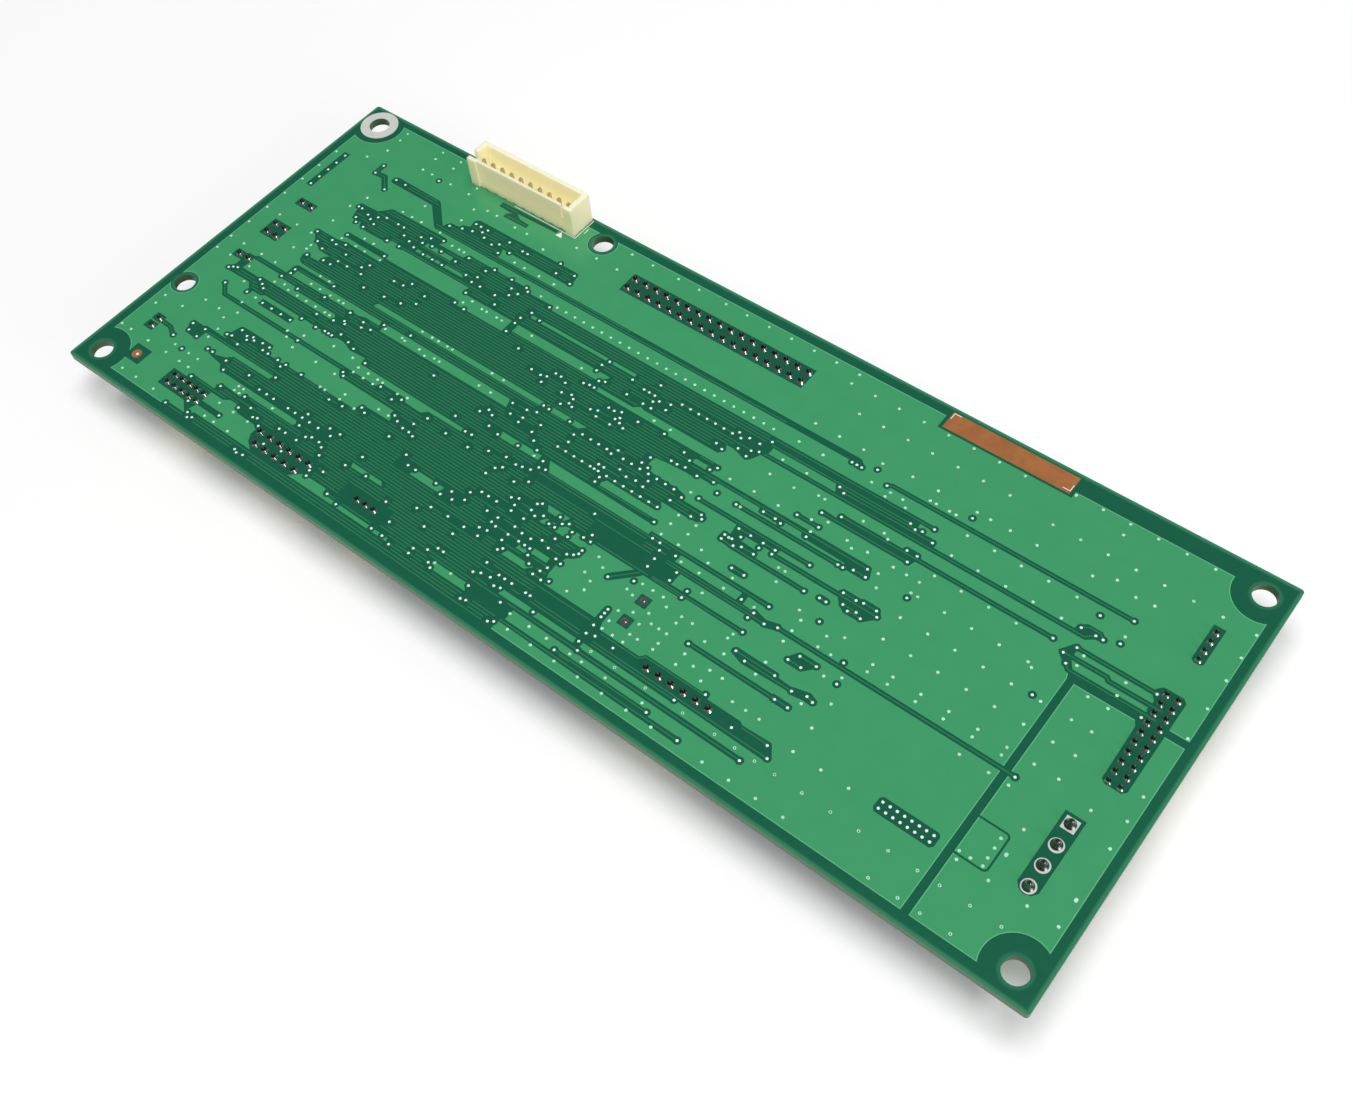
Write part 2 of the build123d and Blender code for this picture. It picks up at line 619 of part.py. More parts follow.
def wafer_housing(count, with_feet):
    """A shroud with one taller wall: slit, recessed panel, end notch, feet and holes for pins on y = 0."""
    span = (count - 1) * WAFER_PITCH
    length = span + 2 * WAFER_END
    width = WAFER_NEAR + WAFER_FAR
    middle = (WAFER_FAR - WAFER_NEAR) / 2
    low_height = WAFER_HEIGHT - WAFER_STEP
    wall_middle = WAFER_WALL / 2 - WAFER_NEAR
    inner_length = length - 2 * WAFER_END_WALL
    opening = WAFER_PIN + 2 * PIN_CLEARANCE

    body = Pos(0, middle) * block(length, width, low_height)
    body += Pos(0, wall_middle) * block(length, WAFER_WALL, WAFER_HEIGHT)
    body -= Pos(0, middle, WAFER_FLOOR) * block(inner_length, width - 2 * WAFER_WALL, WAFER_HEIGHT)
    body -= Pos(0, -WAFER_NEAR) * block(length - 2 * WAFER_POST, 2 * WAFER_PANEL_DEPTH, WAFER_HEIGHT)
    slit_x = span / 2 - WAFER_SLIT_INSET
    slit = block(WAFER_SLIT_WIDTH, WAFER_WALL + OVERRUN, WAFER_HEIGHT)
    body -= Pos(slit_x, wall_middle, WAFER_HEIGHT - WAFER_SLIT_DEPTH) * slit
    notch_y = WAFER_WALL + WAFER_NOTCH_WIDTH / 2 - WAFER_NEAR
    notch = block(2 * WAFER_END_WALL, WAFER_NOTCH_WIDTH, WAFER_HEIGHT)
    body -= Pos(-length / 2, notch_y, low_height - WAFER_NOTCH_DEPTH) * notch
    foot_gap = block(WAFER_FOOT_GAP, width, WAFER_FOOT_HEIGHT)
    hole = block(opening, opening, WAFER_FLOOR)
    for index in range(count):
        pin_x = (index - (count - 1) / 2) * WAFER_PITCH
        body -= Pos(pin_x) * hole
    for index in range(count - 1 if with_feet else 0):
        gap_x = (index - (count - 2) / 2) * WAFER_PITCH
        body -= Pos(gap_x, -WAFER_NEAR - WAFER_WALL / 2) * foot_gap
    return body


# Box header

def box_housing():
    """The open box with its key slot, and one slot in the floor for each row of pins."""
    span = (BOX_COLUMNS - 1) * BOX_PITCH
    depth = (BOX_ROWS - 1) * BOX_PITCH
    length = span + 2 * BOX_END
    width = depth + 2 * BOX_SIDE
    opening = BOX_PIN + 2 * PIN_CLEARANCE
    body = block(length, width, STAND_HEIGHT)
    body -= Pos(0, 0, BOX_FLOOR) * block(length - 2 * BOX_WALL, width - 2 * BOX_WALL, STAND_HEIGHT)
    body -= Pos(0, width / 2, BOX_FLOOR) * block(BOX_KEY_WIDTH, 2 * BOX_WALL, STAND_HEIGHT)
    for row in range(BOX_ROWS):
        row_y = (row - (BOX_ROWS - 1) / 2) * BOX_PITCH
        body -= Pos(0, row_y) * block(span + opening, opening, BOX_FLOOR)
    return body


# Wafer headers of the 2.0 mm series

def fine_housing(columns, rows):
    """A shroud with two slots in its far wall, and one slot in the floor for each row of pins."""
    span = (columns - 1) * FINE_PITCH
    depth = (rows - 1) * FINE_PITCH
    length = span + 2 * FINE_END
    width = depth + 2 * FINE_SIDE
    opening = FINE_PIN + 2 * PIN_CLEARANCE
    body = block(length, width, FINE_HEIGHT)
    body -= Pos(0, 0, FINE_FLOOR) * block(length - 2 * FINE_WALL, width - 2 * FINE_WALL, FINE_HEIGHT)
    slot = Pos(0, width / 2, FINE_HEIGHT - FINE_SLOT_DEPTH) * block(FINE_SLOT, 2 * FINE_WALL, FINE_HEIGHT)
    for slot_x in (-span / 2, span / 2):
        body -= Pos(slot_x) * slot
    for row in range(rows):
        row_y = (row - (rows - 1) / 2) * FINE_PITCH
        body -= Pos(0, row_y) * block(span + opening, opening, FINE_FLOOR)
    return body


# Power header

def power_housing():
    """A base with a locking wall along one side, and one slot for the row of pins."""
    span = (POWER_ROWS - 1) * POWER_PITCH
    length = span + 2 * POWER_END
    opening = POWER_PIN + 2 * PIN_CLEARANCE
    wall_y = (POWER_WIDTH - POWER_WALL) / 2
    body = block(length, POWER_WIDTH, POWER_FLOOR)
    body += Pos(0, wall_y) * block(length, POWER_WALL, STAND_HEIGHT)
    body -= block(span + opening, opening, POWER_FLOOR)
    return body


# Ribbon connector

def ribbon_length():
    """Length of the ribbon connector's housing."""
    return (RIBBON_COUNT - 1) * RIBBON_PITCH + 2 * RIBBON_END


def ribbon_housing():
    """A block with the ribbon's slot at its mouth and a slot for each row of contacts at its base."""
    span = (RIBBON_COUNT - 1) * RIBBON_PITCH
    opening = RIBBON_CONTACT + 2 * PIN_CLEARANCE
    mouth_z = RIBBON_HEIGHT - RIBBON_SLOT_DEPTH
    body = block(ribbon_length(), RIBBON_WIDTH, RIBBON_HEIGHT)
    body -= Pos(0, 0, mouth_z) * block(span + 2 * RIBBON_SLOT_END, RIBBON_SLOT, RIBBON_HEIGHT)
    for row_y in (-RIBBON_ROW_GAP / 2, RIBBON_ROW_GAP / 2):
        body -= Pos(0, row_y) * block(span + opening, opening, RIBBON_CONTACT_TOP)
    return body


def ribbon_slider():
    """The bar that locks the ribbon, on the housing's mouth, with the ribbon's slot through it."""
    span = (RIBBON_COUNT - 1) * RIBBON_PITCH
    length = ribbon_length() + 2 * SLIDER_OVERHANG
    bar = block(length, SLIDER_WIDTH, SLIDER_HEIGHT)
    bar -= block(span + 2 * RIBBON_SLOT_END, RIBBON_SLOT, SLIDER_HEIGHT)
    return Pos(0, 0, RIBBON_HEIGHT) * bar


# Light sensors and crystal

def sensor_body():
    """A forked body: a base with two towers either side of the slot, the corners of the towers cut back."""
    fork = Rectangle(SENSOR_LENGTH, STAND_HEIGHT, align=(Align.CENTER, Align.MIN))
    outer = fork.vertices().sort_by(Axis.Y)[-2:]
    fork = chamfer(outer, SENSOR_SHOULDER)
    gap = Rectangle(SENSOR_SLOT, SENSOR_SLOT_DEPTH, align=(Align.CENTER, Align.MAX))
    fork -= Pos(0, STAND_HEIGHT) * gap
    return Rot(0, 0, 90) * Rot(90, 0, 0) * extrude(fork, SENSOR_WIDTH / 2, both=True)


def crystal_can():
    """A can with round ends, along Y."""
    return Rot(0, 0, 90) * extrude(SlotOverall(CRYSTAL_LENGTH, CRYSTAL_WIDTH), CRYSTAL_HEIGHT)


def crystal_joints():
    """Solder heaped on the two square lands of the crystal."""
    heap = tapered_block(CRYSTAL_LAND, CRYSTAL_LAND_TOP, CRYSTAL_LAND_HEIGHT)
    return [Pos(x, y, SOLDER_FACE) * heap for x, y in CRYSTAL_POINTS]


# Chips

def chip_body(length, width, height):
    """A moulded body a little above the board, its upper edges bevelled."""
    body = Pos(0, 0, CHIP_GAP) * block(length, width, height - CHIP_GAP)
    return chamfer(body.faces().sort_by(Axis.Z)[-1].edges(), CHIP_EDGE)


def lead_row(count, pitch, lead_width, root_height, reach, foot, thickness):
    """Leads that slope from a body's side, at x = 0, down to flat feet on the board."""
    profile = Polygon(
        (0, root_height + thickness / 2),
        (0, root_height - thickness / 2),
        (reach - foot, 0),
        (reach, 0),
    )
    lead = Rot(90, 0, 0) * extrude(profile, lead_width / 2, both=True)
    return [Pos(0, (index - (count - 1) / 2) * pitch) * lead for index in range(count)]


def controller_leads():
    """Leads on all four sides of the controller."""
    row = lead_row(
        CONTROLLER_COUNT,
        CONTROLLER_PITCH,
        CONTROLLER_LEAD,
        CONTROLLER_HEIGHT / 2,
        CONTROLLER_REACH,
        CONTROLLER_FOOT,
        LEAD_THICKNESS,
    )
    return [Rot(0, 0, turn) * Pos(CONTROLLER_SIDE / 2) * lead for turn in (0, 90, 180, 270) for lead in row]


def two_sided_leads(count, height, width):
    """Leads along both long sides of a small-outline chip."""
    leads = []
    for turn in (90, 270):
        row = lead_row(
            count, INTERFACE_PITCH, INTERFACE_LEAD, height / 2, INTERFACE_REACH, INTERFACE_FOOT, LEAD_THICKNESS
        )
        leads += [Rot(0, 0, turn) * Pos(width / 2) * lead for lead in row]
    return leads


def regulator_metal():
    """The tab that stands out of one side of the regulator and the leads on the other."""
    tab_x = (REGULATOR_LENGTH + REGULATOR_TAB_REACH) / 2
    tab = Pos(tab_x) * block(REGULATOR_TAB_REACH, REGULATOR_WIDTH, REGULATOR_TAB_THICKNESS)
    row = lead_row(
        REGULATOR_COUNT,
        REGULATOR_LEAD_PITCH,
        REGULATOR_LEAD,
        REGULATOR_HEIGHT / 2,
        REGULATOR_REACH,
        REGULATOR_FOOT,
        REGULATOR_LEAD_THICKNESS,
    )
    return [tab] + [Rot(0, 0, 180) * Pos(REGULATOR_LENGTH / 2) * lead for lead in row]


# Capacitors and resistors

def bulk_base():
    """A square base with two corners cut off."""
    outline = Rectangle(BULK_BASE, BULK_BASE)
    outline = chamfer(outline.vertices().sort_by(Axis.X)[:2], BULK_BASE_CHAMFER)
    return extrude(outline, BULK_BASE_HEIGHT)


def beside_power_header(piece):
    """Hangs a piece of the bulk capacitor next to the power header."""
    power_x, power_y = on_board(POWER_AT_SHARES)
    x = power_x - (POWER_WIDTH + BULK_BASE) / 2 - BULK_GAP
    return Pos(x, BOARD_WIDTH * BULK_SHARE, STAND_HEIGHT) * Rot(180, 0, 0) * piece


def bulk_can():
    """The round can on its base."""
    return Pos(0, 0, BULK_BASE_HEIGHT) * extrude(Circle(BULK_DIAMETER / 2), BULK_HEIGHT)


# Nodes of the board itself

save("board_laminate", make_laminate())
save("solder_side_copper", make_copper())
save("tinned_mount_land", make_mount_land())
save("bare_copper_plate", make_copper_plate())
save("copper_target_pad", make_target_pad())

# Signal header on the solder side

save("signal_header_housing", seat_above(wafer_housing(SIGNAL_COUNT, True), SIGNAL_AT_SHARES))
save("signal_header_pins", posts(SIGNAL_POINTS, WAFER_PIN, STAND_HEIGHT, SOLDER_FACE + WAFER_PIN_TOP))
under_cone = Rot(180, 0, 0) * joint_cone(WAFER_JOINT, JOINT_HEIGHT)
save("signal_header_joints", [Pos(x, y, STAND_HEIGHT) * under_cone for x, y in SIGNAL_POINTS])

# Headers on the component side

HEADERS = (
    ("box_header", box_housing(), BOX_AT_SHARES, 0, BOX_POINTS, BOX_PIN, BOX_JOINT, BOX_PIN_DEPTH),
    (
        "six_way_header",
        wafer_housing(SIX_COUNT, False),
        SIX_AT_SHARES,
        0,
        SIX_POINTS,
        WAFER_PIN,
        WAFER_JOINT,
        STAND_HEIGHT - WAFER_PIN_TOP,
    ),
)
FINE_HEADERS = (
    ("paired_header", fine_housing(PAIRED_ROWS, 2), PAIRED_AT_SHARES, 90, PAIRED_POINTS),
    ("four_way_header", fine_housing(FOUR_ROWS, 1), FOUR_AT_SHARES, 90, FOUR_POINTS),
    ("three_way_header", fine_housing(THREE_COLUMNS, 1), THREE_AT_SHARES, 0, THREE_POINTS),
    ("ten_way_header", fine_housing(TEN_COLUMNS, 2), TEN_AT_SHARES, 0, TEN_POINTS),
    ("two_way_header", fine_housing(TWO_ROWS, 1), TWO_AT_SHARES, 90, TWO_POINTS),
)
FINE_PIN_LOW = STAND_HEIGHT - FINE_HEIGHT + FINE_PIN_DEPTH

for name, housing, shares, turn, points, pin, joint, pin_low in HEADERS:
    save(name + "_housing", seat_under(housing, shares, turn))
    save(name + "_pins", posts(points, pin, pin_low, SOLDER_FACE))
    save(name + "_joints", joints_above(points, joint, JOINT_HEIGHT))

for name, housing, shares, turn, points in FINE_HEADERS:
    save(name + "_housing", seat_under(housing, shares, turn))
    save(name + "_pins", posts(points, FINE_PIN, FINE_PIN_LOW, SOLDER_FACE))
    save(name + "_joints", joints_above(points, FINE_JOINT, JOINT_HEIGHT))

save("power_header_housing", seat_under(power_housing(), POWER_AT_SHARES, 90))
save("power_header_pins", posts(POWER_POINTS, POWER_PIN, POWER_PIN_DEPTH, SOLDER_FACE))
save("power_header_joints", joints_above(POWER_POINTS, POWER_JOINT, POWER_JOINT_HEIGHT))

save("ribbon_connector_housing", seat_under(ribbon_housing(), RIBBON_AT_SHARES))
save("ribbon_connector_slider", seat_under(ribbon_slider(), RIBBON_AT_SHARES))
save(
    "ribbon_connector_contacts",
    posts(RIBBON_POINTS, RIBBON_CONTACT, STAND_HEIGHT - RIBBON_CONTACT_TOP, SOLDER_FACE),
)
save("ribbon_connector_joints", joints_above(RIBBON_POINTS, RIBBON_JOINT, JOINT_HEIGHT))

# Sensors and crystal

save("slot_sensor_bodies", [seat_under(sensor_body(), shares) for shares in SENSOR_AT_SHARES])
save("slot_sensor_leads", posts(SENSOR_POINTS, SENSOR_LEAD, STAND_HEIGHT, SOLDER_FACE))
save("slot_sensor_joints", joints_above(SENSOR_POINTS, SENSOR_JOINT, JOINT_HEIGHT))
save("crystal_can", seat_under(crystal_can(), CRYSTAL_AT_SHARES))
save("crystal_leads", posts(CRYSTAL_POINTS, CRYSTAL_LEAD, STAND_HEIGHT, SOLDER_FACE))
save("crystal_joints", crystal_joints())

# Chips, regulator, capacitors and resistors

controller = chip_body(CONTROLLER_SIDE, CONTROLLER_SIDE, CONTROLLER_HEIGHT)
interface = chip_body(INTERFACE_LENGTH, INTERFACE_WIDTH, INTERFACE_HEIGHT)
driver = chip_body(DRIVER_LENGTH, DRIVER_WIDTH, DRIVER_HEIGHT)
regulator = chip_body(REGULATOR_LENGTH, REGULATOR_WIDTH, REGULATOR_HEIGHT)
interface_leads = two_sided_leads(INTERFACE_COUNT, INTERFACE_HEIGHT, INTERFACE_WIDTH)
driver_leads = two_sided_leads(DRIVER_COUNT, DRIVER_HEIGHT, DRIVER_WIDTH)
save("controller_chip_body", seat_under(controller, CONTROLLER_AT_SHARES))
save("controller_chip_leads", [seat_under(lead, CONTROLLER_AT_SHARES) for lead in controller_leads()])
save("interface_chip_body", seat_under(interface, INTERFACE_AT_SHARES))
save("interface_chip_leads", [seat_under(lead, INTERFACE_AT_SHARES) for lead in interface_leads])
save("driver_chip_body", seat_under(driver, DRIVER_AT_SHARES))
save("driver_chip_leads", [seat_under(lead, DRIVER_AT_SHARES) for lead in driver_leads])
save("regulator_body", seat_under(regulator, REGULATOR_AT_SHARES))
save("regulator_metal", [seat_under(piece, REGULATOR_AT_SHARES) for piece in regulator_metal()])
save("bulk_capacitor_base", beside_power_header(bulk_base()))
save("bulk_capacitor_can", beside_power_header(bulk_can()))
capacitor = block(CAPACITOR_LENGTH, CAPACITOR_WIDTH, CAPACITOR_HEIGHT)
resistor = block(RESISTOR_LENGTH, RESISTOR_WIDTH, RESISTOR_HEIGHT)
save("chip_capacitors", [seat_under(capacitor, shares) for shares in CAPACITOR_AT_SHARES])
save("chip_resistors", [seat_under(resistor, shares) for shares in RESISTOR_AT_SHARES])
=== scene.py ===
import itertools
import json
import math
import bpy
import bmesh
import numpy
from mathutils import Matrix, Vector
from mathutils.geometry import delaunay_2d_cdt


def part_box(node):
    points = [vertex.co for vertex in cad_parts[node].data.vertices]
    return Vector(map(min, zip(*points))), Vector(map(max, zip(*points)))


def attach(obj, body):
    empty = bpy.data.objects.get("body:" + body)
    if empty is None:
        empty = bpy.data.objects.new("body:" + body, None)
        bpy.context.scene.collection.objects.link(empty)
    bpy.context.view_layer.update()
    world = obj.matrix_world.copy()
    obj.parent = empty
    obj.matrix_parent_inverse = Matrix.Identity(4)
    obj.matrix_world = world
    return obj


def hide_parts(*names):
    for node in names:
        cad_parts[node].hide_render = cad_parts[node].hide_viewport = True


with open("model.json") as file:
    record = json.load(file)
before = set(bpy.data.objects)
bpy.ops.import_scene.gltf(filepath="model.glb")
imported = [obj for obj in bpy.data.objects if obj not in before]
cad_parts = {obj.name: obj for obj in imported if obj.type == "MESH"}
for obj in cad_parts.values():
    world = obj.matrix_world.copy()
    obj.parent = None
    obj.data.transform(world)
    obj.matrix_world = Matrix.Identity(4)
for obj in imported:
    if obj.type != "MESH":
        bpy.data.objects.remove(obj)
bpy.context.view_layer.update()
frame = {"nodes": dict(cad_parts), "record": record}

# Camera read from the four board corners in the photograph
CAMERA_PLACE = (0.115178, -0.111849, 0.219356)
CAMERA_RIGHT = (0.78451, 0.61668, -0.06515)
CAMERA_DOWN = (0.48502, -0.67567, -0.55517)
CAMERA_FORWARD = (-0.38639, 0.40394, -0.82918)
CAMERA_LENS = 39.746
CAMERA_NEAREST = 0.01
SENSOR_WIDTH = 36.0

# Studio, in metres and watts, with levels where 1 is white
FLOOR_SIZE = 8.0
FLOOR_COLOUR = (0.90, 0.90, 0.90)
FLOOR_LIFT = 0.12
FLOOR_FAR_LIFT = 0.90
FLOOR_FAR = (0.25, 0.75)
WORLD_LEVEL = 0.27
REFLECTED_LEVEL = 0.08
BACKDROP_LEVEL = 1.0
WHITE = (1.0, 1.0, 1.0, 1.0)
SOFT_BOX_PLACE = (0.05, 0.02, 1.00)
SOFT_BOX_SIZE = 0.65
SOFT_BOX_POWER = 7.9
SIDE_BOX_PLACE = (1.00, -0.15, 0.28)
SIDE_BOX_SIZE = 0.5
SIDE_BOX_POWER = 2.6

# Board faces, taken from the frame
MM = 0.001
BOARD_LOW, BOARD_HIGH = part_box("board_laminate")
SOLDER_FACE = BOARD_HIGH[2]
PART_FACE = BOARD_LOW[2]
HALF_LENGTH = BOARD_HIGH[0]
HALF_WIDTH = BOARD_HIGH[1]
COPPER_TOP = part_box("solder_side_copper")[1][2]

# Copper, vias, joints and print on the solder side, in millimetres
TRACE_HALF = 0.13
TRACE_PITCH = 0.62
TRACE_CLEARANCE = 0.30
TRACE_LEAST = 2.4
RULED_RIGHT = 17.5
SLOT_HALF = 0.50
WIDE_SLOT_HALF = 0.65
LOOP_HALF = 0.17
POUR_EDGE = 0.15
VIA_RADIUS = 0.29
BRIGHT_VIA_RADIUS = 0.26
VIA_QUIET = 0.90
VIA_CLEARANCE = 0.74
VIA_HEIGHT = 0.05
VIA_SINK = 0.005
BRIGHT_VIA_SINK = 0.02
JOINT_SINK = 0.2
# Heights above the board between which the pins of the joints carry a painted dark reflection
PIN_FOOT = (0.40, 0.60)
PIN_TIP = (1.19, 1.23)
DOME_SHARE = 0.84
LAND_RADIUS = 1.24
LAND_HEIGHT = 0.05
SQUARE_HALF = 1.15
PRINT_HALF = 0.07
PRINT_HEIGHT = 0.02
# Radius of the bright dot painted on the target pad as its glint
TARGET_GLINT_RADIUS = 0.28

# Bands in which the mask changes its tone, in millimetres from the rim, from a hole's axis and from a face
RIM_BAND = (0.25, 0.9)
RIM_STRENGTH = 0.55
HALO_BAND = (2.45, 2.95)
HALO_STRENGTH = 0.50
FACE_BAND = (0.02, 0.06)

# Steps round a circle
ROUND_STEPS = 12
HOLE_STEPS = 48
VIA_STEPS = 10
JOINT_STEPS = 16

# Gap in millimetres, distance in metres and turn in radians below which outlines, corners and faces join
OUTLINE_GAP = 0.001
SAME_PLACE = 0.000001
FLAT_TURN = 0.01

# Random turn of the joints, at most this many radians
JOINT_TURN = 6.0
COPIES_SEED = 7

# Turned forms of unit radius and height, as radius and height from the foot up
VIA_PROFILE = ((1.0, 0.0), (0.96, 0.6), (0.80, 0.9), (0.45, 1.0))
OPEN_VIA_PROFILE = ((1.0, 0.0), (0.96, 0.7), (0.75, 1.0), (0.48, 0.8), (0.40, 0.1))
JOINT_PROFILE = (
    (1.0, 0.0), (0.93, 0.05), (0.78, 0.13), (0.62, 0.25), (0.50, 0.42), (0.42, 0.60), (0.34, 0.72),
    (0.18, 0.78),
)

# Soft edges of the moulded parts, in millimetres or as a share of the part's height
MOULDED = ("_housing", "_slider", "_bodies", "_body", "_base")
EDGE_SHARE = 0.035
EDGE_LEAST = 0.08
EDGE_MOST = 0.22
EDGE_TURN = math.radians(30.0)
EDGE_SEGMENTS = 2
EDGE_ROUNDNESS = 0.5

# Shroud of the signal header, in millimetres
SHROUD_NODE = "signal_header_housing"
SHROUD_PINS = "signal_header_pins"
SHROUD_NEAR_HEIGHT = 6.75
SHROUD_NEAR_WALL = 0.9
SHROUD_FAR_WALL = 0.9
SHROUD_END_WALL = 1.05
SHROUD_FLOOR = 1.2
SHROUD_RELIEF = 0.3
SHROUD_POST = 2.1
SHROUD_SLIT_INSET = 2.9
SHROUD_SLIT_WIDTH = 0.5
SHROUD_SLIT_DEPTH = 3.0
SHROUD_NOTCH_WIDTH = 1.5
SHROUD_NOTCH_DEPTH = 2.7
SHROUD_PIN_HOLE = 0.84
SHROUD_FOOT_GAP = 1.1
SHROUD_FOOT_HEIGHT = 0.25
SHROUD_EDGE = 0.19

# Places on the solder side, in millimetres along the board and towards its far edge
CORNER_HOLES = ((-100.33, 38.1), (100.33, 38.1), (-100.33, -38.1), (100.33, -38.1))
FAR_HOLE = (-38.43, 38.1)
LEFT_HOLE = (-100.33, -17.0)
HOLE_PLACES = CORNER_HOLES + (FAR_HOLE, LEFT_HOLE)
CORNER_KEEP_OUT = 5.5
FAR_KEEP_OUT = 3.0
LEFT_KEEP_OUT = 2.8
KEEP_OUTS = [(place, CORNER_KEEP_OUT) for place in CORNER_HOLES]
KEEP_OUTS += [(FAR_HOLE, FAR_KEEP_OUT), (LEFT_HOLE, LEFT_KEEP_OUT)]
POUR = (
    (-102.7, -40.3), (102.9, -40.3), (102.9, 38.55), (65.8, 38.55), (65.8, 40.1), (-77.0, 40.1),
    (-77.0, 40.6), (-96.0, 40.6), (-96.0, 40.1), (-102.7, 40.1),
)
PRINT_LINES = (
    ((-60.0, 36.1), (-43.95, 36.1)), ((-43.95, 36.1), (-43.95, 41.9)), ((-43.3, 38.1), (-43.3, 39.6)),
    ((40.2, 41.3), (41.6, 41.3)), ((40.2, 41.3), (40.2, 39.9)), ((64.9, 38.2), (63.5, 38.2)),
    ((64.9, 38.2), (64.9, 39.6)),
)
PRINT_TRIANGLE = ((-47.8, 34.6), (-46.2, 34.6), (-47.2, 35.9))
TARGET_PLACE = (-93.5, -35.0)
POWER_LANDS = ((95.35, -18.6), (95.35, -22.5), (95.35, -26.4))
POWER_SQUARE = (95.35, -14.6)

# Fields cleared of the pour, each with its bundle of traces
FAR_BAND = (
    (-86.3, 27.2), (-85.4, 26.9), (-74.2, 26.8), (-69.9, 22.8), (-69.2, 22.3), (32.2, 22.2), (32.0, 21.6),
    (32.6, 21.3), (33.9, 21.3), (34.2, 22.2), (32.5, 23.5), (-53.3, 23.6), (-53.2, 24.2), (-53.8, 25.7),
    (-36.2, 25.6), (-36.9, 28.9), (-37.6, 29.1), (-63.0, 29.1), (-63.8, 28.4), (-63.5, 26.6),
    (-65.0, 26.2), (-65.3, 25.4), (-67.4, 25.2), (-67.9, 24.6), (-68.3, 23.7), (-73.0, 28.2),
    (-73.7, 28.6), (-85.4, 28.8), (-86.2, 28.4),
)
HEADER_LOOP = (
    (-62.6, 34.4), (-62.6, 35.6), (-48.0, 35.9), (-48.0, 35.1), (-58.0, 34.8), (-56.6, 33.9),
    (-54.0, 33.7), (-54.0, 32.7), (-59.9, 32.6), (-60.0, 33.6), (-59.0, 34.2),
)
UPPER_BUS = (
    (-87.2, 18.2), (-86.6, 19.0), (-82.2, 19.2), (-80.0, 21.4), (-65.2, 21.5), (-64.4, 20.9),
    (-65.3, 19.5), (-58.9, 19.5), (-58.5, 20.4), (-57.9, 20.7), (-42.4, 20.6), (-41.2, 19.8),
    (-36.0, 19.9), (-35.1, 18.9), (51.0, 18.8), (51.4, 18.2), (50.6, 17.8), (48.2, 17.9), (48.2, 17.2),
    (48.9, 16.4), (51.4, 16.5), (52.6, 16.0), (52.6, 14.1), (17.6, 14.1), (16.7, 12.2), (15.9, 11.6),
    (13.0, 12.5), (11.4, 12.4), (12.1, 11.3), (11.2, 10.1), (-5.6, 10.1), (-6.4, 10.4), (-7.6, 9.5),
    (-39.7, 9.5), (-39.7, 12.6), (-52.4, 12.5), (-52.8, 13.2), (-52.3, 14.2), (-70.3, 14.2),
    (-70.8, 13.9), (-71.8, 13.9), (-72.4, 14.8), (-74.0, 14.8), (-74.2, 14.0), (-75.2, 13.8),
    (-82.0, 13.7), (-82.5, 14.2), (-82.9, 15.0), (-84.8, 14.9), (-85.5, 15.3), (-86.0, 16.6),
    (-86.2, 17.6),
)
MIDDLE_BUS = (
    (-89.3, 8.4), (-88.8, 8.8), (-83.4, 8.8), (-81.0, 9.3), (-72.3, 9.2), (-71.4, 10.5), (-52.2, 10.5),
    (-51.3, 9.5), (-17.2, 9.5), (-17.6, 9.0), (-17.2, 8.6), (0.8, 8.6), (1.8, 8.0), (13.4, 8.1),
    (13.9, 7.5), (13.4, 6.9), (9.0, 6.9), (8.6, 6.4), (9.0, 5.9), (46.0, 5.9), (46.6, 5.7), (47.5, 3.7),
    (46.9, 3.0), (43.4, 3.0), (42.2, 4.0), (33.4, 4.1), (33.0, 4.9), (28.7, 4.9), (28.6, 4.0),
    (24.5, 4.0), (24.2, 4.9), (15.4, 4.9), (14.8, 4.0), (12.0, 4.0), (11.4, 3.4), (9.3, 3.5), (5.2, 3.2),
    (3.0, 2.9), (2.7, 2.4), (2.8, 1.0), (-64.0, 1.15), (-64.8, 0.0), (-84.6, 0.0), (-85.7, 0.6),
    (-86.3, 2.0), (-85.4, 3.1), (-84.6, 2.6), (-84.4, 2.2), (-82.2, 2.3), (-82.4, 3.2), (-82.0, 3.9),
    (-81.2, 4.5), (-84.4, 4.6), (-85.3, 5.2), (-87.0, 6.0),
)
CENTRE_BUS = (
    (-64.0, 1.2), (2.8, 1.2), (2.9, 0.5), (3.6, 0.0), (10.0, -0.05), (11.9, -0.4), (12.7, -1.5),
    (17.3, -1.5), (18.3, -2.2), (18.3, -3.0), (17.2, -3.8), (15.8, -4.0), (9.6, -3.9), (10.4, -5.0),
    (9.6, -5.95), (-0.9, -5.9), (-1.5, -6.8), (-1.3, -7.4), (11.2, -7.4), (12.1, -8.0), (11.3, -8.6),
    (-11.9, -8.4), (-10.5, -10.5), (12.1, -10.5), (12.1, -9.7), (37.2, -9.6), (37.9, -10.2),
    (37.2, -10.75), (33.3, -10.6), (33.4, -12.3), (35.2, -12.4), (35.8, -11.9), (38.3, -12.5),
    (40.7, -11.8), (41.4, -12.4), (41.2, -13.1), (38.9, -13.9), (36.3, -13.8), (35.6, -14.6),
    (34.9, -13.7), (21.5, -13.7), (21.4, -16.2), (36.4, -16.1), (37.3, -16.6), (36.4, -17.1),
    (25.2, -17.0), (24.5, -17.9), (23.8, -17.5), (-43.0, -17.5), (-43.0, -16.4), (-57.3, -16.4),
    (-58.4, -15.2), (-58.4, -14.1), (-50.0, -14.1), (-49.5, -13.1), (-43.5, -13.0), (-42.5, -13.8),
    (-38.6, -13.9), (-37.6, -12.9), (-28.3, -12.8), (-28.6, -12.0), (-56.1, -11.9), (-56.4, -10.4),
    (-60.2, -10.7), (-62.5, -9.9), (-66.0, -9.9), (-66.0, 0.0), (-64.4, 0.0),
)
